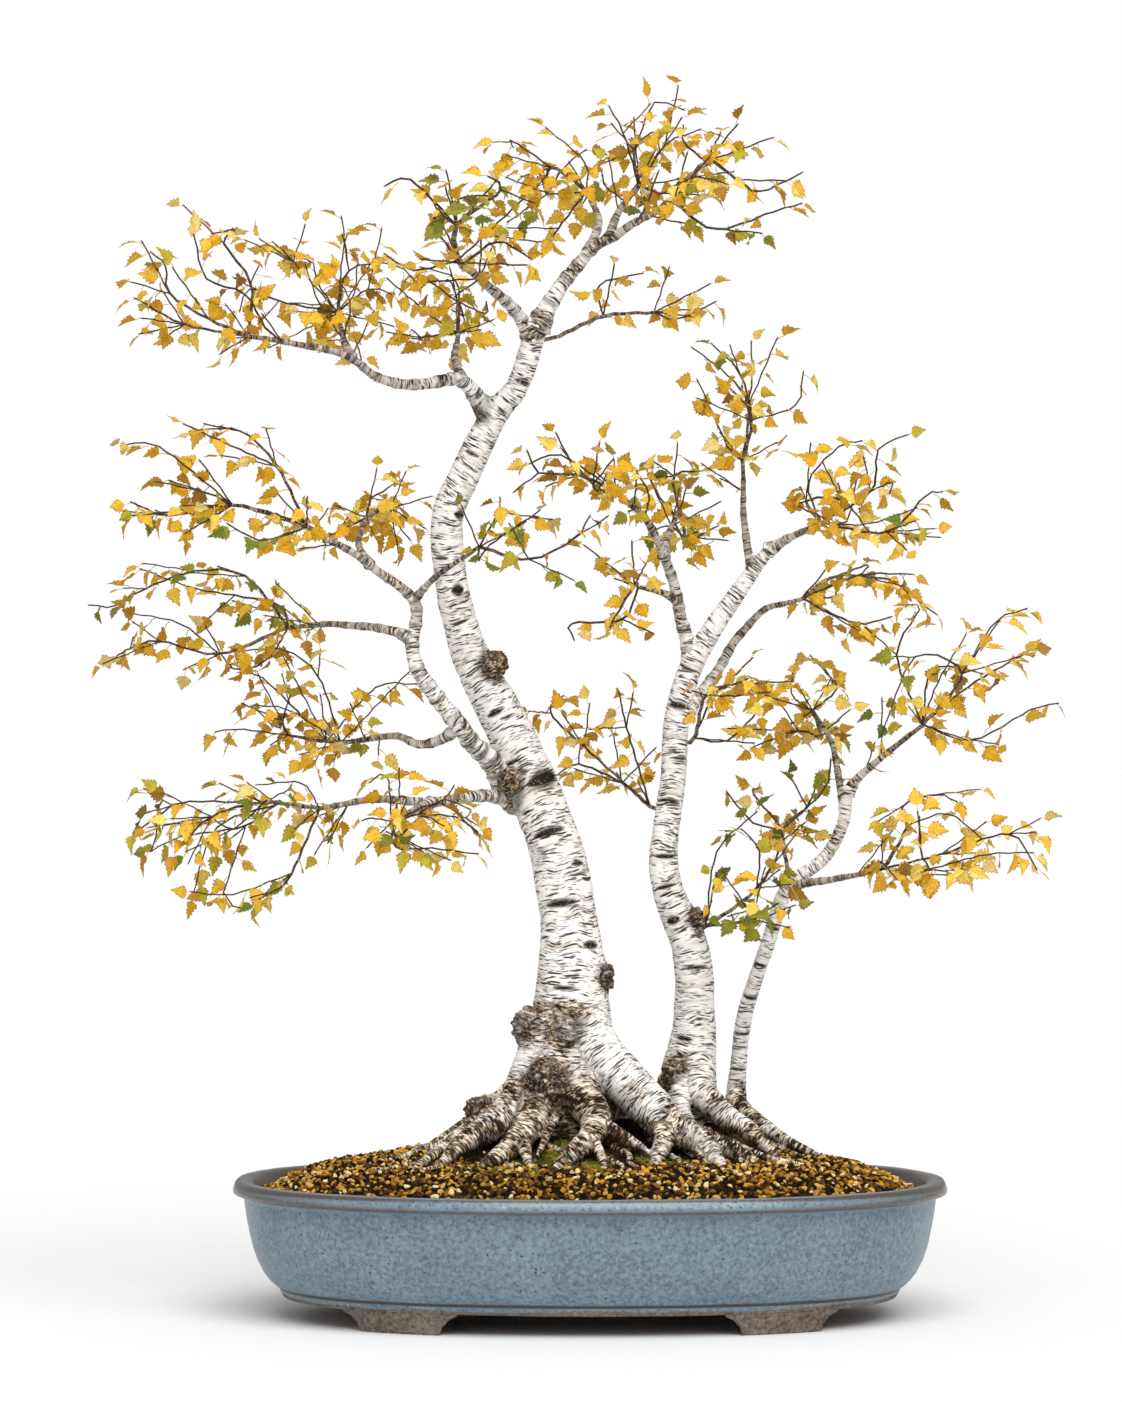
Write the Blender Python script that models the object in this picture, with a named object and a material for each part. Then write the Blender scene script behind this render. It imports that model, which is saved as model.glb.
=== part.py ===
"""A Japanese white birch bonsai in autumn leaf: three trunks from one clump in a glazed oval pot.

Lengths are in millimetres, and MM turns them into Blender's metres. +Z is up and -Y is the front.
z = 0 is the plane under the pot's feet, and x = 0 lies under the middle of the crown's width.
Every solid keeps about CLEARANCE to what carries it.
"""
import math
import random

import bmesh
import bpy
from mathutils import Vector
from mathutils.kdtree import KDTree

MM = 0.001
CLEARANCE = 0.3
SMALLEST_EDGE = 0.01

# The pot: an oval with a rolled lip and four feet.
POT_X = 15.0
RIM_LENGTH = 500.0
RIM_DEPTH = 360.0
RIM_TOP = 96.0
FOOT_HEIGHT = 14.5
FLOOR_TOP = 24.0
OVAL_EXPONENT = 2.3
OVAL_SEGMENTS = 40
# Each pair is how far in from the lip's edge, and how high above the feet.
POT_OUTSIDE = [(35, FOOT_HEIGHT), (30.5, 20), (20, 36), (12, 57), (8, 82), (0, 88)]
POT_LIP = [(2, RIM_TOP), (13, RIM_TOP)]
POT_INSIDE = [(18, 84), (22, 50), (44, FLOOR_TOP)]
FOOT_OFFSET_X = 130.0
FOOT_HALF_BOTTOM = 27.0
FOOT_HALF_TOP = 40.0
FOOT_WIDTH = 42.0

# The soil: level with the pot's wall outside, and mounded under the roots to a flat top.
SOIL_BOTTOM = 60.0
SOIL_EDGE = 91.0
MOUND = [(36, 97), (60, 107.5), (100, 112), (140, 120)]
HALVINGS = 20

# Trunks as stations (x, y, z, radius) from below the ground to the fork or tip.
TRUNKS = {
    "trunk_main": [
        (-2, 2, 98, 50), (-2, 1, 122, 42), (-1, 0, 150, 37), (0, 0, 179, 33), (2, 0, 207, 28),
        (2, 0, 249, 23), (-1, 4, 285, 19.8), (-11, 9, 333, 19), (-39, 14, 403, 16.9),
        (-69, 14, 463, 13.4), (-82, 8, 512, 11.6), (-85, -2, 558, 11.2), (-72, -7, 590, 10.8),
        (-52, -12, 630, 9.6), (-36, -15, 650, 8.2), (-22, -20, 691, 7.6)],
    "trunk_second": [
        (88, 25, 98, 29), (86, 25, 128, 25), (84, 25, 157, 21), (89, 24, 205, 15.2),
        (86, 21, 255, 13), (70, 18, 297, 11.3), (67, 18, 325, 9.9), (74, 23, 380, 9.2),
        (77, 26, 421, 9), (90, 26, 462, 8), (122, 21, 511, 5.8), (141, 17, 537, 4.4)],
    "trunk_third": [
        (118, 62, 98, 11), (119, 62, 140, 8), (121, 60, 172, 6), (126, 54, 210, 5.6),
        (141, 40, 258, 5.2), (155, 32, 298, 5.2), (180, 27, 319, 4.6), (193, 25, 342, 4.3),
        (197, 26, 366, 3.8)],
}
TRUNK_STEP = 34.0
TRUNK_SIDES = {"trunk_main": 12, "trunk_second": 10, "trunk_third": 8}

# Surface roots as (bearing in degrees from +X, reach, thickness at the trunk, fork in degrees).
# Each starts inside the trunk, a share of its radius out, and the forks part after ROOT_FORK_AT.
ROOT_TOP = {"trunk_main": 171.0, "trunk_second": 147.0, "trunk_third": 137.0}
ROOT_START = 0.4
ROOT_FALL = 1.4
ROOT_TAPER = 0.9
ROOT_TIP = 1.8
ROOT_STEPS = 4
ROOT_SIDES = 4
ROOT_PROUD = 0.1
ROOT_SWAY = 4.0
ROOT_FORK_AT = 0.42
ROOT_FORK_LENGTH = 0.86
ROOTS = {
    "trunk_main": [
        (-32, 136, 20, 14), (-58, 104, 10, 0), (-80, 92, 13, 0), (-104, 88, 10, 0),
        (-126, 116, 15, -14), (-151, 130, 16, 0), (-174, 106, 13, 0), (158, 98, 13, 0),
        (122, 100, 14, 0), (84, 96, 13, 0)],
    "trunk_second": [(-12, 66, 9, 0), (-50, 46, 8, 0), (120, 56, 9, 0)],
    "trunk_third": [(-28, 76, 6, 14), (14, 46, 5, 0), (72, 42, 5, 0)],
}

# Burls where old limbs healed over, as (x, y, z, radius).
BURL_SUBDIVISIONS = 2
BURLS = {
    "trunk_main": [
        (-27, -8, 203, 13), (0, -20, 203, 13), (-14, -32, 160, 16), (24, -5, 237, 9),
        (-52, 2, 456, 10)],
    "trunk_second": [(76, 10, 166, 11), (80, 16, 270, 8)],
    "trunk_third": [],
}

# Boughs as (what it grows from, radius at its foot, radius at its tip, route). The first
# point of a route lies inside the parent, or on its end where the bough carries it on.
BOUGHS = {
    "bough_top_left": ("trunk_main", 5.2, 2.2, [
        (-59, -12, 636), (-77, -22, 655), (-107, -36, 650), (-131, -48, 654),
        (-158, -60, 671), (-211, -76, 680)]),
    "bough_top_left_upper": ("bough_top_left", 2.8, 1.9, [
        (-150, -57, 668), (-156, -48, 681), (-159, -36, 694)]),
    "bough_top_back": ("bough_top_left", 3.4, 2.2, [(-74, -21, 653), (-79, -12, 668), (-78, 0, 682)]),
    "bough_top_front": ("trunk_main", 5.4, 3.2, [(-25, -19, 684), (-39, -30, 704), (-70, -52, 730)]),
    "bough_top_right": ("trunk_main", 6.4, 2.6, [
        (-22, -20, 691), (-12, -22, 709), (13, -30, 742), (37, -42, 757), (65, -54, 771)]),
    "bough_apex_left": ("bough_top_right", 3.2, 2.0, [(14, -30, 743), (21, -18, 765), (15, -2, 782)]),
    "bough_apex": ("bough_top_right", 3.0, 2.0, [(28, -38, 752), (35, -18, 772), (46, 4, 788)]),
    "bough_left_stem": ("trunk_main", 7.6, 2.6, [
        (-42, 11, 366), (-59, -6, 393), (-92, -26, 433), (-109, -31, 465), (-106, -34, 497),
        (-138, -48, 525), (-173, -60, 546)]),
    "bough_left_inner": ("bough_left_stem", 2.8, 1.9, [(-138, -48, 525), (-146, -30, 540), (-143, -10, 554)]),
    "bough_left_middle": ("bough_left_stem", 3.6, 2.1, [
        (-109, -31, 473), (-126, -22, 481), (-160, 0, 484), (-189, 14, 483)]),
    "bough_front_right": ("bough_left_stem", 2.6, 1.8, [(-107, -35, 501), (-94, -52, 515), (-68, -72, 532)]),
    "bough_left_back": ("bough_left_stem", 4.0, 2.2, [
        (-76, -17, 414), (-90, -8, 402), (-106, 2, 400), (-124, 16, 406), (-153, 32, 402)]),
    "bough_low_left": ("trunk_main", 5.0, 2.3, [
        (-38, 12, 358), (-60, -14, 365), (-96, -38, 360), (-131, -50, 363), (-163, -58, 358)]),
    "bough_low_front": ("bough_low_left", 3.0, 2.0, [(-96, -38, 360), (-108, -58, 354), (-117, -74, 350)]),
    "bough_second_left": ("trunk_second", 5.0, 2.3, [
        (87, 27, 459), (79, 18, 491), (67, 2, 532), (53, -12, 558), (39, -20, 571)]),
    "bough_second_back": ("bough_second_left", 3.0, 2.0, [(67, 2, 532), (70, 20, 548), (76, 38, 560)]),
    "bough_second_front": ("bough_second_left", 2.8, 1.9, [(76, 14, 502), (65, 0, 507), (54, -15, 509)]),
    "bough_second_apex": ("trunk_second", 3.2, 1.9, [(130, 19, 521), (124, 16, 554), (123, 13, 590)]),
    "bough_second_top": ("trunk_second", 3.8, 2.2, [(141, 17, 537), (155, 7, 545), (170, -8, 552)]),
    "bough_second_right": ("trunk_second", 4.4, 2.2, [
        (84, 26, 425), (102, 36, 446), (120, 48, 475), (138, 56, 495), (158, 62, 501)]),
    "bough_third_right": ("trunk_third", 3.4, 2.1, [(197, 26, 366), (210, 24, 382), (242, 16, 408)]),
    "bough_third_left": ("trunk_third", 2.8, 1.8, [(195, 26, 354), (190, 36, 383), (187, 46, 401), (178, 58, 417)]),
    "bough_third_low": ("trunk_third", 3.2, 2.0, [(156, 32, 300), (184, 14, 304), (212, -4, 311)]),
}
BOUGH_SIDES = 6
BOUGH_STEP = 30.0

# Masses of foliage as (what carries it, centre, half sizes, furthest tips, leaves). A mass on a
# trunk also has the point on the trunk's axis where its stem starts.
MASSES = {
    "foliage_top_left_outer": ("bough_top_left", (-252, -84, 712), (54, 48, 54),
                               [(-290, -92, 742), (-296, -70, 706), (-262, -80, 768)], 10),
    "foliage_top_left": ("bough_top_left_upper", (-174, -14, 716), (66, 54, 52),
                         [(-158, -20, 766)], 12),
    "foliage_top_back": ("bough_top_back", (-86, 44, 712), (46, 50, 44), [], 8),
    "foliage_top_front": ("bough_top_front", (-74, -80, 752), (60, 46, 50), [(-108, -88, 786)], 10),
    "foliage_apex_left": ("bough_apex_left", (-16, 40, 800), (48, 52, 50), [(-46, 36, 832)], 9),
    "foliage_apex": ("bough_apex", (62, 34, 816), (58, 56, 56), [(60, 30, 863), (80, 34, 850)], 12),
    "foliage_top_right": ("bough_top_right", (104, -84, 780), (58, 52, 50),
                          [(138, -74, 816), (146, -84, 786)], 10),
    "foliage_right_of_leader": ("trunk_main", (60, 28, 722), (56, 48, 27), [(98, 22, 724)], 6),
    "foliage_left_outer": ("bough_left_stem", (-238, -80, 580), (76, 52, 57),
                           [(-252, -80, 616), (-298, -84, 566), (-224, -70, 620)], 12),
    "foliage_left_inner": ("bough_left_inner", (-142, 42, 562), (54, 50, 40), [(-116, 40, 592)], 8),
    "foliage_left_middle": ("bough_left_middle", (-260, 44, 490), (88, 56, 50),
                            [(-322, 44, 498), (-312, 50, 468), (-304, 40, 510)], 13),
    "foliage_front_right": ("bough_front_right", (-24, -88, 542), (56, 42, 38),
                            [(14, -88, 556)], 8),
    "foliage_left_back": ("bough_left_back", (-182, 68, 424), (80, 56, 52),
                          [(-110, 70, 456), (-232, 70, 410)], 12),
    "foliage_low_left": ("bough_low_left", (-228, -70, 336), (74, 56, 52),
                         [(-284, -72, 366), (-286, -66, 330), (-230, -72, 298)], 13),
    "foliage_low_front": ("bough_low_front", (-108, -102, 352), (60, 42, 40), [(-62, -98, 340)], 8),
    "foliage_second_low_left": ("trunk_second", (14, 74, 408), (54, 50, 50), [(-20, 74, 424)], 8),
    "foliage_second_left": ("bough_second_left", (12, -46, 586), (52, 50, 34), [(-28, -44, 602)], 8),
    "foliage_second_back": ("bough_second_back", (80, 76, 574), (38, 52, 48), [(60, 84, 604)], 7),
    "foliage_second_front": ("bough_second_front", (32, -58, 508), (44, 48, 42), [(2, -56, 484)], 7),
    "foliage_second_apex": ("bough_second_apex", (126, 14, 640), (47, 52, 58),
                            [(146, 12, 684), (112, 14, 660)], 10),
    "foliage_second_top": ("bough_second_top", (204, -52, 574), (60, 56, 48),
                           [(246, -54, 572), (214, -50, 604)], 10),
    "foliage_second_right": ("bough_second_right", (218, 92, 508), (62, 52, 38),
                             [(264, 92, 494)], 8),
    "foliage_second_low_right": ("trunk_second", (124, -44, 430), (44, 50, 36), [(152, -46, 444)], 6),
    "foliage_second_low": ("trunk_second", (130, -34, 318), (40, 52, 50), [(136, -36, 280)], 8),
    "foliage_third_left": ("bough_third_left", (166, 98, 428), (50, 48, 50), [(126, 96, 440)], 8),
    "foliage_third_right": ("bough_third_right", (274, 6, 440), (74, 64, 70),
                            [(324, 4, 424), (300, 6, 486), (318, 10, 462)], 13),
    "foliage_third_low": ("bough_third_low", (264, -46, 334), (72, 60, 46),
                          [(312, -44, 348), (322, -52, 316)], 11),
    "foliage_third_back": ("trunk_third", (158, 94, 364), (46, 40, 42), [(128, 92, 368)], 6),
}
TRUNK_STEMS = {
    "foliage_right_of_leader": (-24, -19, 684),
    "foliage_second_low_left": (70, 20, 352),
    "foliage_second_low_right": (80, 26, 402),
    "foliage_second_low": (82, 20, 264),
    "foliage_third_back": (158, 32, 301),
}

# The rule of growth: targets spread evenly through a mass's space join the nearest twig, where a
# long way back to the stem counts as further away. CROWN_DEPTH spreads the masses front to back.
SEED = 0
CROWN_DEPTH = 1.2
SPACE_EXPONENT = 2.6
TARGETS_WITHIN = 0.86
LEAVES_WITHIN = 1.12
STEM_LEAD = 9.0
STEM_RADIUS = 2.0
STEM_RISE = 0.6
PATH_WEIGHT = 0.42
SHARPEST_TURN = math.radians(112)
SHORTEST_TWIG = 4.0
CANDIDATES = 14
MOST_TRIES = 40
# Twigs are three-sided, and thin from the stem to their ends with the share of leaves they feed.
TWIG_SIDES = 3
TWIG_RADIUS = 0.85
TWIG_TAPER = 0.75
TWIG_GAP = 2.4
MASS_GAP = 5.0
SAMPLE_STEP = 3.0
# Each leaf stands for a small spray, so it is larger than one real leaf of 17 mm.
# LEAN is how far a leaf follows its twig: one on the twig's end carries the twig on.
LEAF_SPACING = 25.0
LEAF_LEAN = 0.45
END_LEAF_LEAN = 1.3
LEAF_OUTWARD = 0.6
LEAF_WILD = 0.6
LEAF_DROOP = 0.7
LEAF_TRIES = 10
LEAF_APART = 3.2
LEAF_GAP = 1.2
LEAF_LENGTH = 29.0
LEAF_WIDTH = 20.0
LEAF_BULGE = 0.58
LEAF_THICKNESS = 1.4
LEAF_ROOT = 0.35
LEAF_SUNK = 0.4

PARTS = "white_birch_bonsai"
CUTTERS = "cutters"


def vector(values):
    return Vector(values[:3])


def clear_scene():
    for item in list(bpy.data.objects):
        bpy.data.objects.remove(item, do_unlink=True)


def collection(name):
    made = bpy.data.collections.new(name)
    bpy.context.scene.collection.children.link(made)
    return made


def material(name, colour, roughness, metallic=0.0):
    made = bpy.data.materials.new(name)
    made.use_nodes = True
    shader = made.node_tree.nodes["Principled BSDF"]
    shader.inputs["Base Color"].default_value = (*colour, 1.0)
    shader.inputs["Roughness"].default_value = roughness
    shader.inputs["Metallic"].default_value = metallic
    return made


def add_object(name, mesh, group, finish=None):
    made = bpy.data.objects.new(name, mesh)
    group.objects.link(made)
    if finish:
        mesh.materials.clear()
        mesh.materials.append(finish)
    return made


def evaluated_mesh(item):
    graph = bpy.context.evaluated_depsgraph_get()
    return bpy.data.meshes.new_from_object(item.evaluated_get(graph))


def boolean(item, operation, other, solver="EXACT"):
    """Joins or cuts item with one object or a whole collection, and keeps the result."""
    modifier = item.modifiers.new("boolean", "BOOLEAN")
    modifier.operation = operation
    modifier.solver = solver
    if isinstance(other, bpy.types.Collection):
        modifier.operand_type = "COLLECTION"
        modifier.collection = other
    else:
        modifier.object = other
    mesh = evaluated_mesh(item)
    item.modifiers.clear()
    item.data = mesh


def keep_largest_shell(mesh):
    """Drops loose scraps and sealed hollows that joining can leave behind."""
    work = bmesh.new()
    work.from_mesh(mesh)
    bmesh.ops.triangulate(work, faces=work.faces)
    unseen = set(work.faces)
    shells = []
    while unseen:
        shell = [unseen.pop()]
        for face in shell:
            for edge in face.edges:
                for neighbour in edge.link_faces:
                    if neighbour in unseen:
                        unseen.remove(neighbour)
                        shell.append(neighbour)
        shells.append(shell)
    shells.sort(key=len, reverse=True)
    for shell in shells[1:]:
        bmesh.ops.delete(work, geom=shell, context="FACES")
    loose = [vertex for vertex in work.verts if not vertex.link_faces]
    bmesh.ops.delete(work, geom=loose, context="VERTS")
    work.to_mesh(mesh)
    bmesh.ops.dissolve_degenerate(work, dist=SMALLEST_EDGE * MM, edges=work.edges)
    if all(len(edge.link_faces) == 2 for edge in work.edges):
        work.to_mesh(mesh)
    work.free()


def face_outwards(work):
    bmesh.ops.recalc_face_normals(work, faces=work.faces)
    if work.calc_volume(signed=True) < 0:
        bmesh.ops.reverse_faces(work, faces=work.faces)


def loft(name, rings, group, finish=None):
    """A closed solid through rings of equal count, with flat ends."""
    work = bmesh.new()
    rows = [[work.verts.new(point * MM) for point in ring] for ring in rings]
    for lower, upper in zip(rows, rows[1:]):
        for index, corner in enumerate(lower):
            following = (index + 1) % len(lower)
            work.faces.new((corner, lower[following], upper[following], upper[index]))
    work.faces.new(list(reversed(rows[0])))
    work.faces.new(rows[-1])
    bmesh.ops.recalc_face_normals(work, faces=work.faces)
    mesh = bpy.data.meshes.new(name)
    work.to_mesh(mesh)
    work.free()
    return add_object(name, mesh, group, finish)


def oval_point(inset, turn):
    """A point of the pot's oval, inset from the lip's edge, at a turn from +X."""
    sides = (RIM_LENGTH / 2 - inset, RIM_DEPTH / 2 - inset)
    power = 2 / OVAL_EXPONENT
    wave = (math.cos(turn), math.sin(turn))
    return [side * math.copysign(abs(part) ** power, part) for side, part in zip(sides, wave)]


def oval_ring(inset, height):
    turns = [math.tau * step / OVAL_SEGMENTS for step in range(OVAL_SEGMENTS)]
    ring = [oval_point(inset, turn) for turn in turns]
    return [Vector((POT_X + x, y, height)) for x, y in ring]


def oval_depth(inset, x):
    """Half the oval's depth at a distance x from the pot's middle."""
    across = min(abs(x) / (RIM_LENGTH / 2 - inset), 1.0)
    return (RIM_DEPTH / 2 - inset) * (1 - across ** OVAL_EXPONENT) ** (1 / OVAL_EXPONENT)


def foot_ring(side_x, side_y, half_length, inset, width, height):
    """A foot's outline: its outer edge follows the oval of the pot's base."""
    steps = [half_length * (step / 2 - 1) for step in range(5)]
    outer = [(FOOT_OFFSET_X + step, oval_depth(inset, FOOT_OFFSET_X + step)) for step in steps]
    inner = [(x, y - width) for x, y in reversed(outer)]
    return [Vector((POT_X + side_x * x, side_y * y, height)) for x, y in outer + inner]


def make_pot(parts, cutters, finish):
    """The oval shell with its rolled lip, and four feet fused under it."""
    rings = [oval_ring(*pair) for pair in POT_OUTSIDE + POT_LIP + POT_INSIDE]
    pot = loft("pot", rings, parts, finish)
    base_inset = POT_OUTSIDE[0][0]
    for side_x in (-1, 1):
        for side_y in (-1, 1):
            levels = [
                (FOOT_HALF_BOTTOM, base_inset + 5, FOOT_WIDTH - 8, 0.0),
                (FOOT_HALF_BOTTOM + 2, base_inset + 4, FOOT_WIDTH - 6, 3.0),
                (FOOT_HALF_TOP - 4, base_inset + 2, FOOT_WIDTH - 2, FOOT_HEIGHT - 1.5),
                (FOOT_HALF_TOP, base_inset + 1, FOOT_WIDTH, FOOT_HEIGHT + 2.0)]
            foot_rings = [foot_ring(side_x, side_y, *level) for level in levels]
            foot = loft("foot", foot_rings, cutters)
            boolean(pot, "UNION", foot)
            bpy.data.objects.remove(foot)
    return pot


def soil_level(x, y):
    """The mound's height under a place, by how far in from the pot's lip it lies."""
    across, along = abs(y), abs(x - POT_X)
    outer, inner = MOUND[0][0], MOUND[-1][0]
    for _ in range(HALVINGS):
        inset = (outer + inner) / 2
        shares = (along / (RIM_LENGTH / 2 - inset), across / (RIM_DEPTH / 2 - inset))
        if sum(share ** OVAL_EXPONENT for share in shares) < 1.0:
            outer = inset
        else:
            inner = inset
    for (start, low), (end, high) in zip(MOUND, MOUND[1:]):
        if outer <= end:
            return low + (high - low) * (outer - start) / (end - start)
    return MOUND[-1][1]


def make_soil(parts, finish):
    """The soil that fills the pot, a clearance off its wall, with the mound on it."""
    gap = 1.4 * CLEARANCE
    inside = [(inset, height) for inset, height in reversed(POT_INSIDE) if height < SOIL_EDGE]
    profile = [(inset + gap, height + gap) for inset, height in inside]
    profile.append((inside[-1][0] + gap, SOIL_EDGE))
    return loft("soil", [oval_ring(*pair) for pair in profile + MOUND], parts, finish)


def smooth_path(stations, spacing):
    """Points and radii along a Catmull-Rom curve through stations (x, y, z, radius)."""
    rows = [tuple(2 * b - c for b, c in zip(stations[0], stations[1]))] + list(stations)
    rows.append(tuple(2 * b - c for b, c in zip(stations[-1], stations[-2])))
    path = []
    for before, start, end, after in zip(rows, rows[1:], rows[2:], rows[3:]):
        length = (vector(end) - vector(start)).length
        count = max(1, round(length / spacing))
        for step in range(count):
            t = step / count
            row = [0.5 * (2 * b + (c - a) * t + (2 * a - 5 * b + 4 * c - d) * t ** 2
                          + (3 * b - a - 3 * c + d) * t ** 3)
                   for a, b, c, d in zip(before, start, end, after)]
            path.append((vector(row), row[3]))
    path.append((vector(stations[-1]), stations[-1][3]))
    return path


def bough_path(name):
    """A bough's route with a radius that tapers evenly from foot to tip."""
    parent, foot, tip, route = BOUGHS[name]
    last = len(route) - 1
    stations = [(*point, foot + (tip - foot) * index / last) for index, point in enumerate(route)]
    path = smooth_path(stations, BOUGH_STEP)
    if route[0] == tuple(TRUNKS.get(parent, [(0, 0, 0, 0)])[-1][:3]):
        ahead = (path[1][0] - path[0][0]).normalized()
        path[0] = (path[0][0] + ahead * 1.2 * CLEARANCE, path[0][1])
    return path


def tube(name, path, sides, group, grow=0.0, finish=None):
    """A tapering limb along a path of points and radii; grow fattens and lengthens it."""
    places = [place.copy() for place, radius in path]
    if grow:
        places[0] -= (places[1] - places[0]).normalized() * grow
        places[-1] += (places[-1] - places[-2]).normalized() * grow
    curve = bpy.data.curves.new(name, "CURVE")
    curve.dimensions = "3D"
    curve.use_fill_caps = True
    if sides == TWIG_SIDES:
        curve.bevel_mode = "OBJECT"
        curve.bevel_object = bpy.data.objects["twig_section"]
    else:
        curve.bevel_depth = MM
        curve.bevel_resolution = (sides - 4) // 2
    spline = curve.splines.new("POLY")
    spline.points.add(len(places) - 1)
    for point, place, (_, radius) in zip(spline.points, places, path):
        point.co = (*(place * MM), 1.0)
        point.radius = radius + grow
    holder = add_object(name + "_curve", curve, group)
    mesh = evaluated_mesh(holder)
    bpy.data.objects.remove(holder)
    work = bmesh.new()
    work.from_mesh(mesh)
    bmesh.ops.remove_doubles(work, verts=work.verts, dist=1e-6)
    face_outwards(work)
    work.to_mesh(mesh)
    work.free()
    mesh.shade_smooth()
    return add_object(name, mesh, group, finish)


def make_twig_section(group):
    """The three-sided section of every twig, of unit radius in millimetres."""
    curve = bpy.data.curves.new("twig_section", "CURVE")
    spline = curve.splines.new("POLY")
    spline.points.add(TWIG_SIDES - 1)
    for step, point in enumerate(spline.points):
        turn = math.tau * step / TWIG_SIDES
        point.co = (math.cos(turn) * MM, math.sin(turn) * MM, 0.0, 1.0)
    spline.use_cyclic_u = True
    section = add_object("twig_section", curve, group)
    section.hide_render = True
    return section


def root_paths(trunk):
    """Surface roots that leave the trunk high and run out along the mound."""
    foot = vector(TRUNKS[trunk][0])
    start = TRUNKS[trunk][0][3] * ROOT_START
    for number, (bearing, reach, thickness, fork) in enumerate(ROOTS[trunk]):
        heads = [(bearing, 0.0, reach)]
        if fork:
            heads.append((bearing + fork, ROOT_FORK_AT, reach * ROOT_FORK_LENGTH))
        for head, begin, length in heads:
            path = []
            for step in range(ROOT_STEPS + 1):
                t = begin + (1 - begin) * step / ROOT_STEPS
                blend = (t - begin) / (1 - begin)
                bearing_here = bearing + (head - bearing) * math.sqrt(blend)
                sway = ROOT_SWAY * math.sin(math.tau * t + number)
                turn = math.radians(bearing_here + sway * t)
                out = start + (length - start) * t
                radius = ROOT_TIP + (thickness - ROOT_TIP) * (1 - t) ** ROOT_TAPER
                x, y = foot.x + out * math.cos(turn), foot.y + out * math.sin(turn)
                level = soil_level(x, y) + ROOT_PROUD * radius
                height = level + (ROOT_TOP[trunk] - level) * (1 - t) ** ROOT_FALL
                path.append((Vector((x, y, height)), radius))
            yield path


def make_trunk(name, parts, cutters, finish):
    """A trunk with its surface roots and burls fused on, cut off along the top of the soil."""
    path = smooth_path(TRUNKS[name], TRUNK_STEP)
    trunk = tube(name, path, TRUNK_SIDES[name], parts, finish=finish)
    pieces = collection(name + "_pieces")
    for root in root_paths(name):
        tube("root", root, ROOT_SIDES, pieces)
    for x, y, z, radius in BURLS[name]:
        work = bmesh.new()
        bmesh.ops.create_icosphere(work, subdivisions=BURL_SUBDIVISIONS, radius=radius * MM)
        bmesh.ops.translate(work, verts=work.verts, vec=Vector((x, y, z)) * MM)
        mesh = bpy.data.meshes.new("burl")
        work.to_mesh(mesh)
        work.free()
        add_object("burl", mesh, pieces)
    boolean(trunk, "UNION", pieces)
    remove_collection(pieces)
    rings = [oval_ring(MOUND[0][0], SOIL_BOTTOM)]
    rings += [oval_ring(inset, height + CLEARANCE) for inset, height in MOUND]
    cutter = loft("earth", rings, cutters)
    boolean(trunk, "DIFFERENCE", cutter)
    bpy.data.objects.remove(cutter)
    keep_largest_shell(trunk.data)
    return path


def remove_collection(group):
    for item in list(group.objects):
        bpy.data.objects.remove(item, do_unlink=True)
    bpy.data.collections.remove(group)


def gap_between(point, start, end):
    """Distance from a point to a straight run, and how far along the run it is."""
    run = end - start
    share = min(max((point - start).dot(run) / run.length_squared, 0.0), 1.0)
    return (point - (start + run * share)).length, share


class Limbs:
    """The trunks and boughs as runs with radii, to keep twigs and leaves off them."""

    def __init__(self):
        self.paths = {}

    def clear(self, point, margin):
        for path in self.paths.values():
            for (start, wide), (end, narrow) in zip(path, path[1:]):
                if abs(point.z - start.z) > (end - start).length + wide + margin:
                    continue
                distance, share = gap_between(point, start, end)
                if distance < wide + (narrow - wide) * share + margin:
                    return False
        return True


def reaches(path, other, grow):
    """Whether a limb's path comes within the other limb, grown by a margin."""
    for place, radius in path:
        for (start, wide), (end, narrow) in zip(other, other[1:]):
            distance, share = gap_between(place, start, end)
            if distance < radius + wide + (narrow - wide) * share + grow:
                return True
    return False


def make_bough(name, limbs, parts, cutters, finish):
    """One tapering limb, cut back to a clearance off each limb that it grows from."""
    path = bough_path(name)
    bough = tube(name, path, BOUGH_SIDES, parts, finish=finish)
    for other, other_path in limbs.paths.items():
        if reaches(path, other_path, 2 * CLEARANCE):
            sides = TRUNK_SIDES.get(other, BOUGH_SIDES)
            cutter = tube("cutter", other_path, sides, cutters, grow=1.2 * CLEARANCE)
            boolean(bough, "DIFFERENCE", cutter)
            bpy.data.objects.remove(cutter)
    keep_largest_shell(bough.data)
    limbs.paths[name] = path


def deepened(point):
    return Vector((point.x, point.y * CROWN_DEPTH, point.z))


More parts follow.
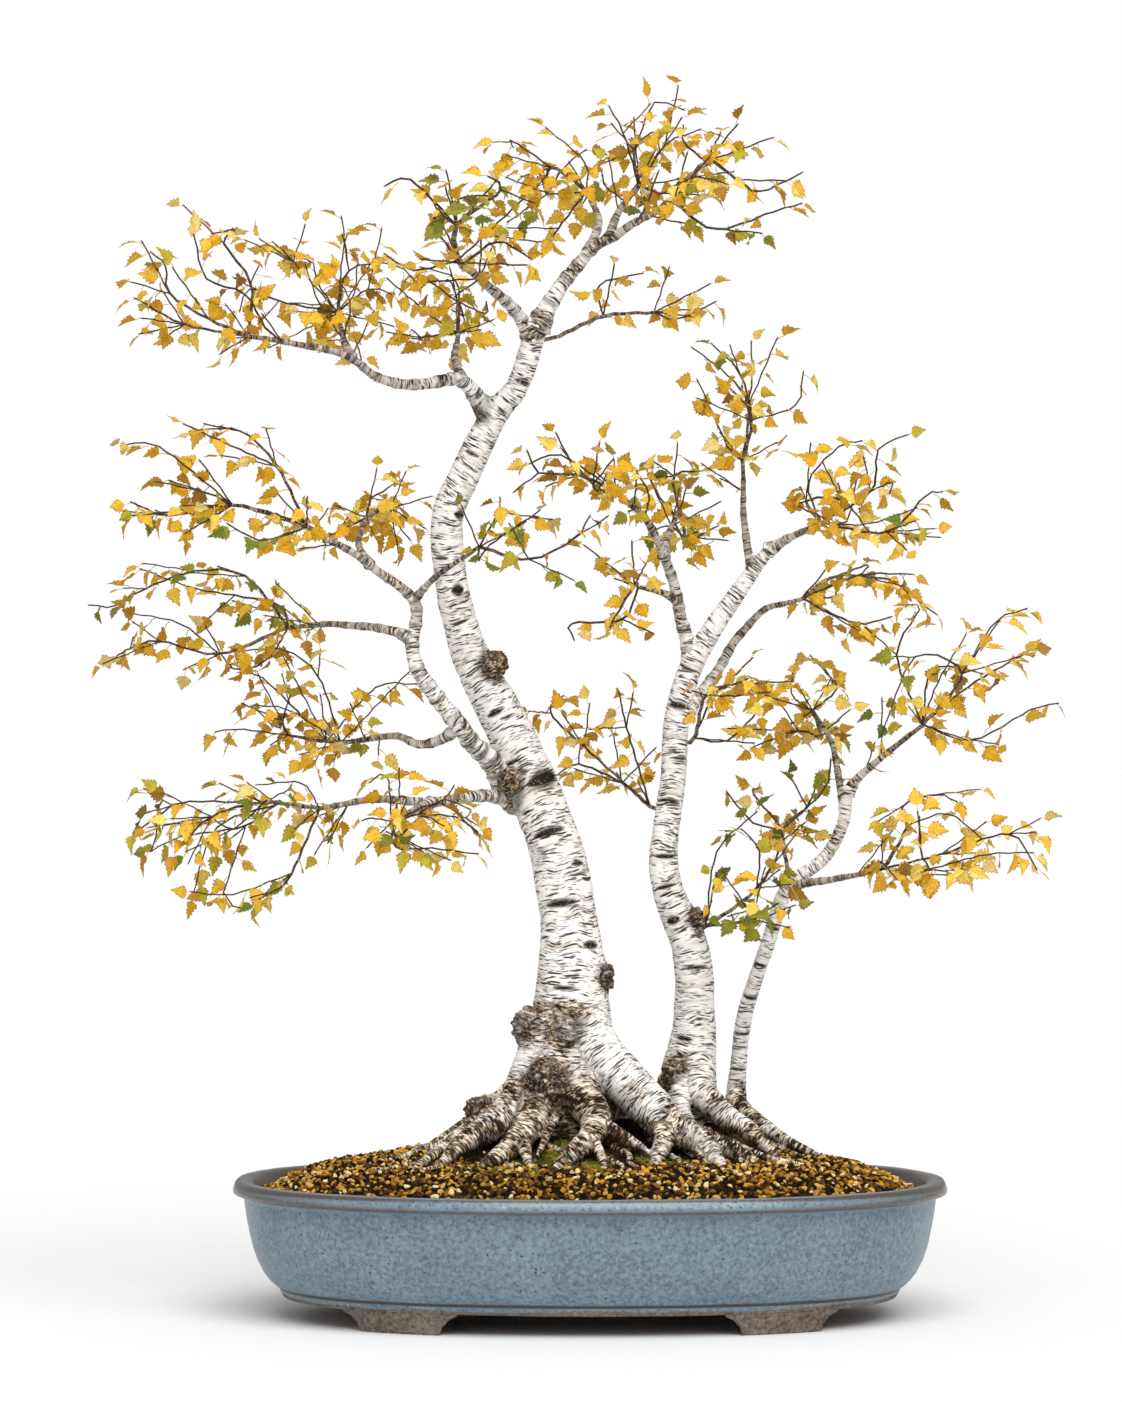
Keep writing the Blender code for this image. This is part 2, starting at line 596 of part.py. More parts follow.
class Twigs:
    """The skeleton of one mass: nodes, each joined to a parent, and a leaf at most nodes."""

    def __init__(self, name, limbs, taken):
        carrier, centre, half, tips, count = MASSES[name]
        self.rng = random.Random(f"{name} {SEED}")
        self.limbs = limbs
        self.taken = taken
        self.centre = deepened(vector(centre))
        self.half = (half[0], half[1] * CROWN_DEPTH, half[2])
        self.tips = [deepened(vector(tip)) for tip in tips]
        self.count = count
        carrier_path = limbs.paths[carrier]
        if name in TRUNK_STEMS:
            start = vector(TRUNK_STEMS[name])
            run = min(zip(carrier_path, carrier_path[1:]),
                      key=lambda pair: gap_between(start, pair[0][0], pair[1][0])[0])
            heading = (self.centre - start).normalized()
            along = (run[1][0] - run[0][0]).normalized()
            across = (heading - along * heading.dot(along)).normalized()
            heading = (across + heading * STEM_RISE).normalized()
            self.lead = run[0][1] + STEM_LEAD
            self.base_radius = STEM_RADIUS
        else:
            tip, self.base_radius = carrier_path[-1]
            heading = (tip - carrier_path[-2][0]).normalized()
            start = tip + heading * CLEARANCE
            self.lead = STEM_LEAD
        self.nodes = [start, start + heading * self.lead]
        self.parents = [None, 0]

    def inside(self, point, scale=1.0):
        offsets = [abs(part) / (side * scale) for part, side in zip(point - self.centre, self.half)]
        return sum(offset ** SPACE_EXPONENT for offset in offsets) <= 1.0

    def free(self, point, gap):
        """Whether a point is clear of every limb and of the masses made before."""
        if not self.limbs.clear(point, gap):
            return False
        return all(tree.find(point)[2] > MASS_GAP for tree in self.taken)

    def targets(self):
        """Evenly spread places for leaves: the furthest tips, then the best of some candidates."""
        places = list(self.tips)
        tries = 0
        while len(places) < self.count and tries < MOST_TRIES * self.count:
            best, best_gap = None, -1.0
            for _ in range(CANDIDATES):
                tries += 1
                offset = [self.rng.uniform(-side, side) for side in self.half]
                place = self.centre + Vector(offset)
                if not self.inside(place, TARGETS_WITHIN) or not self.free(place, TWIG_GAP):
                    continue
                gap = min(((place - other).length for other in places + self.nodes), default=1e9)
                if gap > best_gap:
                    best, best_gap = place, gap
            if best:
                places.append(best)
        return places

    def way_clear(self, start, end):
        steps = max(2, int((end - start).length / SAMPLE_STEP))
        way = [start.lerp(end, step / steps) for step in range(1, steps + 1)]
        return all(self.free(point, TWIG_GAP) for point in way)

    def turn_ok(self, index, place):
        parent = self.parents[index]
        if parent is None:
            return False
        before = self.nodes[index] - self.nodes[parent]
        return before.angle(place - self.nodes[index]) < SHARPEST_TURN

    def grow(self):
        """Joins the targets one by one, each to the node that it is best reached from."""
        waiting = self.targets()
        ways = [0.0, self.lead]
        while waiting:
            options = []
            for place in waiting:
                for index, node in enumerate(self.nodes):
                    reach = (place - node).length
                    if reach > SHORTEST_TWIG and self.turn_ok(index, place):
                        options.append((reach + PATH_WEIGHT * ways[index], reach, index, place))
            options.sort(key=lambda option: option[0])
            for _, reach, index, place in options:
                if self.way_clear(self.nodes[index], place):
                    self.nodes.append(place)
                    self.parents.append(index)
                    ways.append(ways[index] + reach)
                    waiting.remove(place)
                    break
            else:
                return

    def radii(self):
        """A twig is as thick as what it feeds, by the rule of equal cross-section."""
        load = [1.0] * len(self.nodes)
        for index in range(len(self.nodes) - 1, 0, -1):
            load[self.parents[index]] += load[index]
        full = load[0]
        spread = self.base_radius - TWIG_RADIUS
        return [TWIG_RADIUS + spread * (part / full) ** TWIG_TAPER for part in load]

    def chains(self):
        """Runs of nodes from each fork to a twig's end, the thickest way on being the same twig."""
        radii = self.radii()
        children = {index: [] for index in range(len(self.nodes))}
        for index, parent in enumerate(self.parents):
            if parent is not None:
                children[parent].append(index)
        starts = [(None, 0)]
        while starts:
            parent, index = starts.pop()
            chain = [] if parent is None else [(self.nodes[parent], min(radii[index], radii[parent]))]
            while True:
                chain.append((self.nodes[index], radii[index]))
                following = sorted(children[index], key=lambda child: -radii[child])
                if not following:
                    break
                starts += [(index, child) for child in following[1:]]
                index = following[0]
            yield chain

    def leaf_places(self):
        """Where leaves stand: in turn along each twig, and one carrying on each twig's end."""
        ends = set(range(2, len(self.nodes))) - set(self.parents)
        for index in range(2, len(self.nodes)):
            start, end = self.nodes[self.parents[index]], self.nodes[index]
            way = end - start
            count = int(way.length / LEAF_SPACING)
            for step in range(count):
                yield start + way * (step + 0.7) / (count + 0.2), way.normalized(), LEAF_LEAN
            if index in ends:
                yield end - way.normalized() * LEAF_SUNK, way.normalized(), END_LEAF_LEAN

    def leaf_frames(self):
        """A place, a direction and a face for each leaf that touches nothing but its own twig."""
        near = twig_samples(self)
        for place, twig, lean in self.leaf_places():
            outward = (place - self.centre).normalized()
            for _ in range(LEAF_TRIES):
                wild = Vector([self.rng.gauss(0, 1) for _ in range(3)]).normalized()
                along = twig * lean + outward * LEAF_OUTWARD + wild * LEAF_WILD
                along.z -= self.rng.uniform(0.0, LEAF_DROOP)
                along.normalize()
                face = Vector((0.0, -0.7, 0.7)) + wild.cross(along)
                across = along.cross(face).normalized()
                outline = leaf_outline(place, along, across)
                if not all(self.inside(point, LEAVES_WITHIN) and self.free(point, LEAF_GAP)
                           for point in outline):
                    continue
                if all((point - other).length > LEAF_APART for point in outline for other in near):
                    near += outline
                    yield place, along, across
                    break


def leaf_outline(place, along, across):
    """Points along a leaf's middle and edges, for testing what it would touch."""
    wide = place + along * LEAF_LENGTH * LEAF_BULGE
    points = [place + along * LEAF_LENGTH * share for share in (0.25, 0.42, 0.58, 0.79, 1.0)]
    return points + [wide + across * LEAF_WIDTH * side for side in (-0.5, -0.25, 0.25, 0.5)]


def twig_samples(twigs):
    """Points a few millimetres apart along every twig of a mass."""
    points = []
    for index in range(1, len(twigs.nodes)):
        start = twigs.nodes[twigs.parents[index]]
        end = twigs.nodes[index]
        steps = max(1, int((end - start).length / SAMPLE_STEP))
        points += [start.lerp(end, step / steps) for step in range(steps + 1)]
    return points


def make_leaf(place, along, across, group):
    """A thin eight-sided leaf, widest past its middle, with its root sunk in the twig."""
    middle = place + along * LEAF_LENGTH * LEAF_BULGE
    lift = along.cross(across).normalized() * LEAF_THICKNESS / 2
    corners = {
        (0, 0, 1): place + along * LEAF_LENGTH,
        (0, 0, -1): place - along * LEAF_ROOT,
        (1, 0, 0): middle + across * LEAF_WIDTH / 2,
        (-1, 0, 0): middle - across * LEAF_WIDTH / 2,
        (0, 1, 0): middle + lift,
        (0, -1, 0): middle - lift,
    }
    work = bmesh.new()
    bmesh.ops.create_uvsphere(work, u_segments=4, v_segments=2, radius=1.0)
    for vertex in work.verts:
        vertex.co = corners[tuple(round(part) for part in vertex.co)] * MM
    face_outwards(work)
    mesh = bpy.data.meshes.new("leaf")
    work.to_mesh(mesh)
    work.free()
    return add_object("leaf", mesh, group)


def samples(twigs, frames):
    """Points all over a finished mass, so that the next masses keep off it."""
    points = twig_samples(twigs)
    for frame in frames:
        points += leaf_outline(*frame)
    tree = KDTree(len(points))
    for index, point in enumerate(points):
        tree.insert(point, index)
    tree.balance()
    return tree


def make_mass(name, limbs, taken, parts, cutters, finish):
    """One mass of foliage: twigs from one stem with leaves fused on, as a single solid."""
    twigs = Twigs(name, limbs, taken)
    twigs.grow()
    frames = list(twigs.leaf_frames())
    pieces = collection(name + "_pieces")
    chains = list(twigs.chains())
    mass = tube(name, chains[0], TWIG_SIDES, parts, finish=finish)
    for chain in chains[1:]:
        tube("twig", chain, TWIG_SIDES, pieces)
    for frame in frames:
        make_leaf(*frame, pieces)
    boolean(mass, "UNION", pieces, "MANIFOLD")
    remove_collection(pieces)
    if name in TRUNK_STEMS:
        carrier = MASSES[name][0]
        cutter = tube("cutter", limbs.paths[carrier], TRUNK_SIDES[carrier], cutters,
                      grow=1.2 * CLEARANCE)
        boolean(mass, "DIFFERENCE", cutter, "MANIFOLD")
        bpy.data.objects.remove(cutter)
    keep_largest_shell(mass.data)
    taken.append(samples(twigs, frames))


def main():
    clear_scene()
    parts = collection(PARTS)
    cutters = collection(CUTTERS)
    glaze = material("blue_grey_glaze", (0.21, 0.29, 0.35), 0.32)
    earth = material("gravel_soil", (0.22, 0.15, 0.06), 0.95)
    bark = material("white_birch_bark", (0.78, 0.76, 0.72), 0.75)
    thin_bark = material("grey_birch_bark", (0.42, 0.38, 0.33), 0.8)
    leaf = material("autumn_leaf", (0.72, 0.44, 0.07), 0.6)
    make_pot(parts, cutters, glaze)
    make_soil(parts, earth)
    section = make_twig_section(cutters)
    limbs = Limbs()
    for name in TRUNKS:
        limbs.paths[name] = make_trunk(name, parts, cutters, bark)
    for name in BOUGHS:
        make_bough(name, limbs, parts, cutters, thin_bark)
    taken = []
    for name in MASSES:
        make_mass(name, limbs, taken, parts, cutters, leaf)
    bpy.data.objects.remove(section)
    bpy.data.collections.remove(cutters)


main()
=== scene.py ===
"""A Japanese white birch bonsai in autumn leaf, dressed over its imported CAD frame.

Lengths are in millimetres, and MM turns them into Blender's metres. +Z is up and -Y is the front.
The limbs and the rule of growth are those of the CAD source, carried on to finer twigs and leaves.
"""
import math
import random

import bmesh
import bpy
import numpy as np
from mathutils import Matrix, Vector, noise
from mathutils.kdtree import KDTree


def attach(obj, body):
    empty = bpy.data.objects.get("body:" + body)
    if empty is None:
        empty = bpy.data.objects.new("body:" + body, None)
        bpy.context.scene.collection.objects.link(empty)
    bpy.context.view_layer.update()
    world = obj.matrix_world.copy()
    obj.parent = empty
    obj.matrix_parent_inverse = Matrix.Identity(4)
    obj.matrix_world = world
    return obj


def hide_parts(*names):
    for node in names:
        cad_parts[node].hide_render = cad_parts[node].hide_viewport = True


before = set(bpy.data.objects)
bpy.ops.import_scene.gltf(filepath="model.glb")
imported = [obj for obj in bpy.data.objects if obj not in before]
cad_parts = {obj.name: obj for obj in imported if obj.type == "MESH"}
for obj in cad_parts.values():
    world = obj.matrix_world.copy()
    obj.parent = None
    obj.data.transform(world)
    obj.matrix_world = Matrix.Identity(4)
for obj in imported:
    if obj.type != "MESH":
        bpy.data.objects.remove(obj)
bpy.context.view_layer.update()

MM = 0.001
CLEARANCE = 0.3

# The pot, as in the CAD source: an oval with a rolled lip and four feet.
POT_X = 15.0
RIM_LENGTH = 500.0
RIM_DEPTH = 360.0
RIM_TOP = 96.0
FOOT_HEIGHT = 14.5
FLOOR_TOP = 24.0
OVAL_EXPONENT = 2.3
OVAL_SEGMENTS = 240
FOOT_OFFSET_X = 130.0
FOOT_HALF_BOTTOM = 27.0
FOOT_HALF_TOP = 40.0
FOOT_WIDTH = 42.0

# The mound as (inset from the lip's edge, height), and how it rises to each trunk's foot as
# (x, y, rise, spread).
MOUND = [(20, 86.5), (28, 90), (36, 95), (60, 104.5), (100, 110.5), (140, 119)]
SOIL_RISES = [(0, 0, 14, 44), (42, 10, 25, 24), (92, 26, 22, 30), (124, 56, 15, 24)]
# Dark humus lies bare round the trunks, over an oval at x and y with these half sizes.
HUMUS = (22, 4, 128, 86)

# Trunks as stations (x, y, z, radius) from below the ground to the fork or tip.
TRUNKS = {
    "trunk_main": [
        (-2, 2, 98, 50), (-2, 1, 122, 42), (-1, 0, 150, 37), (0, 0, 179, 33), (2, 0, 207, 28),
        (2, 0, 249, 23), (-1, 4, 285, 19.8), (-11, 9, 333, 19), (-39, 14, 403, 16.9),
        (-69, 14, 463, 13.4), (-82, 8, 512, 11.6), (-85, -2, 558, 11.2), (-72, -7, 590, 10.8),
        (-52, -12, 630, 9.6), (-36, -15, 650, 8.2), (-22, -20, 691, 7.6)],
    "trunk_second": [
        (88, 25, 98, 29), (86, 25, 128, 25), (84, 25, 157, 21), (89, 24, 205, 15.2),
        (86, 21, 255, 13), (70, 18, 297, 11.3), (67, 18, 325, 9.9), (74, 23, 380, 9.2),
        (77, 26, 421, 9), (90, 26, 462, 8), (122, 21, 511, 5.8), (141, 17, 537, 4.4)],
    "trunk_third": [
        (118, 62, 98, 11), (119, 62, 140, 8), (121, 60, 172, 6), (126, 54, 210, 5.6),
        (141, 40, 258, 5.2), (155, 32, 298, 5.2), (180, 27, 319, 4.6), (193, 25, 342, 4.3),
        (197, 26, 366, 3.8)],
}
TRUNK_STEP = 34.0

# Roots at the back as (bearing in degrees from +X, reach, thickness at the trunk, fork in degrees).
ROOT_TOP = {"trunk_main": 171.0, "trunk_second": 147.0, "trunk_third": 137.0}
ROOT_START = 0.4
ROOT_FALL = 1.4
ROOT_TAPER = 0.9
ROOT_TIP = 1.8
ROOT_PROUD = 0.1
ROOT_SWAY = 4.0
ROOTS = {
    "trunk_main": [(-174, 100, 11, 0), (158, 98, 13, 0), (122, 100, 14, 15), (84, 96, 13, 0)],
    "trunk_second": [(92, 56, 9, 0), (136, 50, 8, 0)],
    "trunk_third": [(72, 42, 5, 0)],
}

# Roots at the front, as the photo shows them: (how white their bark is, stations).
FRONT_ROOTS = {
    "trunk_main": [
        (0.1, [(6, 4, 192, 16), (27, 8, 156, 14), (45, 10, 130, 11), (60, 12, 108, 8),
               (70, 14, 98, 5)]),
        (0.64, [(4, -6, 214, 20), (16, -14, 190, 19), (34, -24, 170, 17), (54, -36, 151, 15.5),
                (71, -46, 135, 13), (91, -54, 126, 9), (102, -62, 114, 6), (109, -70, 106, 2.4)]),
        (0.45, [(71, -46, 135, 12.5), (90, -46, 128, 9.5), (110, -48, 121, 7.2), (132, -50, 109, 3.6),
                (141, -50, 104, 1.6)]),
        (0.35, [(66, -44, 138, 11), (66, -58, 128, 8), (63, -66, 120, 6.4), (58, -73, 109, 4),
                (55, -76, 104, 2)]),
        (0.4, [(85, -52, 128, 6), (92, -62, 116, 4), (94, -68, 107, 2)]),
        (0.25, [(6, -24, 170, 14), (10, -36, 155, 13.5), (18, -48, 142, 11.5), (16, -60, 131, 9),
                (3, -74, 119, 7), (-8, -86, 109, 4.2), (-14, -92, 104, 2)]),
        (0.3, [(18, -50, 140, 8), (30, -56, 134, 5.5), (42, -58, 127, 4), (53, -60, 121, 2.2),
               (60, -64, 112, 1.6)]),
        (0.2, [(14, -62, 130, 6), (22, -72, 118, 3.6), (26, -80, 108, 1.8)]),
        (0.1, [(-8, -34, 150, 5), (-12, -48, 136, 3.4), (-18, -60, 124, 2.6), (-24, -68, 112, 1.6)]),
        (0.2, [(-14, -20, 172, 15), (-20, -34, 153, 13.5), (-28, -50, 136, 11), (-42, -68, 122, 8),
               (-58, -84, 111, 4.6), (-66, -90, 105, 2)]),
        (0.1, [(-28, -50, 136, 7), (-30, -66, 124, 5), (-28, -80, 112, 3), (-26, -86, 106, 1.6)]),
        (0.35, [(-13, -6, 206, 20), (-19, -9, 182, 18), (-37, -22, 150, 13), (-56, -38, 134, 10),
                (-76, -54, 122, 6.4), (-88, -68, 110, 3.4), (-92, -76, 104, 1.6)]),
        (0.2, [(-40, -18, 150, 9), (-62, -30, 136, 8), (-84, -46, 122, 5.4), (-100, -62, 112, 3.2),
               (-110, -74, 105, 1.6)]),
        (0.35, [(-24, -4, 160, 14), (-42, -4, 144, 11), (-60, -8, 132, 9), (-82, -14, 122, 6.5),
                (-106, -20, 115, 4), (-124, -26, 106, 2)]),
    ],
    "trunk_second": [
        (0.2, [(90, 12, 172, 13), (92, 2, 158, 11.5), (106, -10, 143, 9), (127, -22, 130, 6.6),
               (144, -30, 114, 3.2), (150, -34, 106, 1.6)]),
        (0.1, [(80, 6, 165, 10), (78, -6, 148, 7.5), (84, -20, 134, 5.5), (94, -30, 121, 3.4),
               (99, -36, 110, 1.6)]),
        (0.1, [(72, 20, 160, 10), (62, 10, 146, 8), (56, -4, 134, 5.5), (58, -18, 122, 3),
               (60, -28, 112, 1.6)]),
    ],
    "trunk_third": [
        (0.4, [(117, 52, 152, 6.5), (124, 44, 140, 6.6), (136, 34, 131, 6), (152, 22, 121, 4.6),
               (176, 8, 110, 2.4), (184, 4, 105, 1.2)]),
        (0.2, [(122, 60, 140, 5), (140, 52, 128, 4), (160, 44, 116, 2.6), (172, 38, 107, 1.4)]),
    ],
}
# Thin rootlets that lie on the soil, as places on the ground from above and the radius at the start.
ROOTLETS = {
    "trunk_main": [
        ([(-62, -40), (-80, -56), (-94, -74), (-108, -84)], 3.2),
        ([(30, -50), (42, -62), (41, -72), (48, -84)], 3.0),
        ([(64, -54), (75, -64), (78, -76), (86, -84)], 3.0),
        ([(-50, -42), (-40, -58), (-44, -72), (-38, -86)], 2.8),
        ([(-80, -44), (-98, -50), (-114, -66), (-134, -70)], 3.0),
        ([(-14, -48), (-4, -60), (-10, -74)], 2.6), ([(26, -68), (36, -76), (37, -88)], 2.4),
        ([(-96, -18), (-118, -34), (-140, -36)], 3.0)],
    "trunk_second": [
        ([(98, -16), (112, -34), (114, -48), (124, -62)], 2.8),
        ([(112, -12), (130, -34), (148, -44), (164, -46)], 2.8),
        ([(84, -22), (80, -40), (86, -54)], 2.4)],
    "trunk_third": [
        ([(138, 30), (156, 10), (166, -12)], 2.4)],
}
# The trunks narrow under ground level, so that the roots stand apart.
FOOT_NARROWS_FROM = 150.0
FOOT_NARROWS_OVER = 52.0
FOOT_NARROWS_BY = 0.48

# Burls where old limbs healed over, as (x, y, z, radius, how dark they are).
BURLS = {
    "trunk_main": [
        (-27, -8, 203, 13, 0.8), (0, -20, 203, 13, 0.65), (-14, -32, 160, 16, 1.0), (24, -5, 237, 9, 0.95),
        (-52, 2, 456, 9, 0.9), (-41, -12, 374, 8, 0.9), (-62, -10, 144, 10, 0.9)],
    "trunk_second": [(76, 10, 166, 11, 0.9), (91, 15, 277, 7, 0.8)],
    "trunk_third": [],
}

# Dark healed scars in the bark, as (height, offset to the right of the axis, half width, half height).
SCARS = {
    "trunk_main": [
        (287, 3, 14, 4.4), (339, 1, 13, 4.8), (312, -13, 6, 3.2), (257, -15, 8, 4.0),
        (422, 3, 8, 3.2), (508, -4, 5.5, 7.5), (372, -10, 15, 10), (564, -9, 6, 6),
        (604, 2, 7, 2.4), (655, -3, 8, 3.0), (688, -4, 9, 6), (390, 8, 8, 2.6), (232, 6, 9, 2.4),
        (534, 5, 6, 2.0)],
    "trunk_second": [
        (279, 5, 6, 5), (427, 1, 9, 4), (243, -1, 11, 2.2), (302, 1, 10, 2.4), (322, -1, 9, 2.8),
        (360, 1, 9.5, 2.4), (194, 8, 7, 2.6), (164, -11, 10, 13), (391, -3, 7, 1.8), (452, 2, 7, 2)],
    "trunk_third": [(168, 0, 9, 1.8), (193, 0, 8, 1.6), (222, 0, 8, 2.0), (243, 0, 8, 1.6),
                    (271, 0, 8, 2.4)],
}
SCARS_AROUND = {"trunk_main": 34, "trunk_second": 22, "trunk_third": 8}

# Boughs as (what it grows from, radius at its foot, radius at its tip, route).
BOUGHS = {
    "bough_top_left": ("trunk_main", 5.2, 2.2, [
        (-59, -12, 636), (-77, -22, 655), (-107, -36, 650), (-131, -48, 654),
        (-158, -60, 671), (-211, -76, 680)]),
    "bough_top_left_upper": ("bough_top_left", 2.8, 1.9, [
        (-150, -57, 668), (-156, -48, 681), (-159, -36, 694)]),
    "bough_top_back": ("bough_top_left", 3.4, 2.2, [(-74, -21, 653), (-79, -12, 668), (-78, 0, 682)]),
    "bough_top_front": ("trunk_main", 5.4, 3.2, [(-25, -19, 684), (-39, -30, 704), (-70, -52, 730)]),
    "bough_top_right": ("trunk_main", 6.4, 2.6, [
        (-22, -20, 691), (-12, -22, 709), (13, -30, 742), (37, -42, 757), (65, -54, 771)]),
    "bough_apex_left": ("bough_top_right", 3.2, 2.0, [(14, -30, 743), (21, -18, 765), (15, -2, 782)]),
    "bough_apex": ("bough_top_right", 3.0, 2.0, [(28, -38, 752), (35, -18, 772), (46, 4, 788)]),
    "bough_left_stem": ("trunk_main", 7.6, 2.6, [
        (-42, 11, 366), (-59, -6, 393), (-92, -26, 433), (-109, -31, 465), (-106, -34, 497),
        (-138, -48, 525), (-173, -60, 546)]),
    "bough_left_inner": ("bough_left_stem", 2.8, 1.9, [(-138, -48, 525), (-146, -30, 540), (-143, -10, 554)]),
    "bough_left_middle": ("bough_left_stem", 3.6, 2.1, [
        (-109, -31, 473), (-126, -22, 481), (-160, 0, 484), (-189, 14, 483)]),
    "bough_front_right": ("bough_left_stem", 2.6, 1.8, [(-107, -35, 501), (-94, -52, 515), (-68, -72, 532)]),
    "bough_left_back": ("bough_left_stem", 4.0, 2.2, [
        (-76, -17, 414), (-90, -8, 402), (-106, 2, 400), (-124, 16, 406), (-153, 32, 402)]),
    "bough_low_left": ("trunk_main", 5.0, 2.3, [
        (-38, 12, 358), (-60, -14, 365), (-96, -38, 360), (-131, -50, 363), (-163, -58, 358)]),
    "bough_low_front": ("bough_low_left", 3.0, 2.0, [(-96, -38, 360), (-108, -58, 354), (-117, -74, 350)]),
    "bough_second_left": ("trunk_second", 5.0, 2.3, [
        (87, 27, 459), (79, 18, 491), (67, 2, 532), (53, -12, 558), (39, -20, 571)]),
    "bough_second_back": ("bough_second_left", 3.0, 2.0, [(67, 2, 532), (70, 20, 548), (76, 38, 560)]),
    "bough_second_front": ("bough_second_left", 2.8, 1.9, [(76, 14, 502), (65, 0, 507), (54, -15, 509)]),
    "bough_second_apex": ("trunk_second", 3.2, 1.9, [(130, 19, 521), (124, 16, 554), (123, 13, 590)]),
    "bough_second_top": ("trunk_second", 3.8, 2.2, [(141, 17, 537), (155, 7, 545), (170, -8, 552)]),
    "bough_second_right": ("trunk_second", 4.4, 2.2, [
        (84, 26, 425), (102, 36, 446), (120, 48, 475), (138, 56, 495), (158, 62, 501)]),
    "bough_third_right": ("trunk_third", 3.4, 2.1, [(197, 26, 366), (210, 24, 382), (242, 16, 408)]),
    "bough_third_left": ("trunk_third", 2.8, 1.8, [
        (195, 26, 354), (190, 36, 383), (187, 46, 401), (178, 58, 417)]),
    "bough_third_low": ("trunk_third", 3.2, 2.0, [(156, 32, 300), (184, 14, 304), (212, -4, 311)]),
}
BOUGH_STEP = 30.0

# Masses of foliage as (what carries it, centre, half sizes, furthest tips, leaves).
MASSES = {
    "foliage_top_left_outer": ("bough_top_left", (-252, -84, 712), (54, 48, 54),
                               [(-290, -92, 742), (-296, -70, 706), (-262, -80, 768)], 10),
    "foliage_top_left": ("bough_top_left_upper", (-174, -14, 716), (66, 54, 52),
                         [(-158, -20, 766)], 12),
    "foliage_top_back": ("bough_top_back", (-86, 44, 712), (46, 50, 44), [], 8),
    "foliage_top_front": ("bough_top_front", (-74, -80, 752), (60, 46, 50), [(-108, -88, 786)], 10),
    "foliage_apex_left": ("bough_apex_left", (-16, 40, 800), (48, 52, 50), [(-46, 36, 832)], 9),
    "foliage_apex": ("bough_apex", (62, 34, 816), (58, 56, 56), [(60, 30, 863), (80, 34, 850)], 12),
    "foliage_top_right": ("bough_top_right", (104, -84, 780), (58, 52, 50),
                          [(138, -74, 816), (146, -84, 786)], 10),
    "foliage_right_of_leader": ("trunk_main", (60, 28, 722), (56, 48, 27), [(98, 22, 724)], 6),
    "foliage_left_outer": ("bough_left_stem", (-238, -80, 580), (76, 52, 57),
                           [(-252, -80, 616), (-298, -84, 566), (-224, -70, 620)], 12),
    "foliage_left_inner": ("bough_left_inner", (-142, 42, 562), (54, 50, 40), [(-116, 40, 592)], 8),
    "foliage_left_middle": ("bough_left_middle", (-260, 44, 490), (88, 56, 50),
                            [(-322, 44, 498), (-312, 50, 468), (-304, 40, 510)], 13),
    "foliage_front_right": ("bough_front_right", (-24, -88, 542), (56, 42, 38),
                            [(14, -88, 556)], 8),
    "foliage_left_back": ("bough_left_back", (-182, 68, 424), (80, 56, 52),
                          [(-110, 70, 456), (-232, 70, 410)], 12),
    "foliage_low_left": ("bough_low_left", (-228, -70, 336), (74, 56, 52),
                         [(-284, -72, 366), (-286, -66, 330), (-230, -72, 298)], 13),
    "foliage_low_front": ("bough_low_front", (-108, -102, 352), (60, 42, 40), [(-62, -98, 340)], 8),
    "foliage_second_low_left": ("trunk_second", (14, 74, 408), (54, 50, 50), [(-20, 74, 424)], 8),
    "foliage_second_left": ("bough_second_left", (12, -46, 586), (52, 50, 34), [(-28, -44, 602)], 8),
    "foliage_second_back": ("bough_second_back", (80, 76, 574), (38, 52, 48), [(60, 84, 604)], 7),
    "foliage_second_front": ("bough_second_front", (32, -58, 508), (44, 48, 42), [(2, -56, 484)], 7),
    "foliage_second_apex": ("bough_second_apex", (126, 14, 640), (47, 52, 58),
                            [(146, 12, 684), (112, 14, 660)], 10),
    "foliage_second_top": ("bough_second_top", (204, -52, 574), (60, 56, 48),
                           [(246, -54, 572), (214, -50, 604)], 10),
    "foliage_second_right": ("bough_second_right", (218, 92, 508), (62, 52, 38),
                             [(264, 92, 494)], 8),
    "foliage_second_low_right": ("trunk_second", (124, -44, 430), (44, 50, 36), [(152, -46, 444)], 6),
    "foliage_second_low": ("trunk_second", (130, -34, 318), (40, 52, 50), [(136, -36, 280)], 8),
    "foliage_third_left": ("bough_third_left", (166, 98, 428), (50, 48, 50), [(126, 96, 440)], 8),
    "foliage_third_right": ("bough_third_right", (274, 6, 440), (74, 64, 70),
                            [(324, 4, 424), (300, 6, 486), (318, 10, 462)], 13),
    "foliage_third_low": ("bough_third_low", (264, -46, 334), (72, 60, 46),
                          [(312, -44, 348), (322, -52, 316)], 11),
    "foliage_third_back": ("trunk_third", (158, 94, 364), (46, 40, 42), [(128, 92, 368)], 6),
}
TRUNK_STEMS = {
    "foliage_right_of_leader": (-24, -19, 684),
    "foliage_second_low_left": (70, 20, 352),
    "foliage_second_low_right": (80, 26, 402),
    "foliage_second_low": (82, 20, 264),
    "foliage_third_back": (158, 32, 301),
}

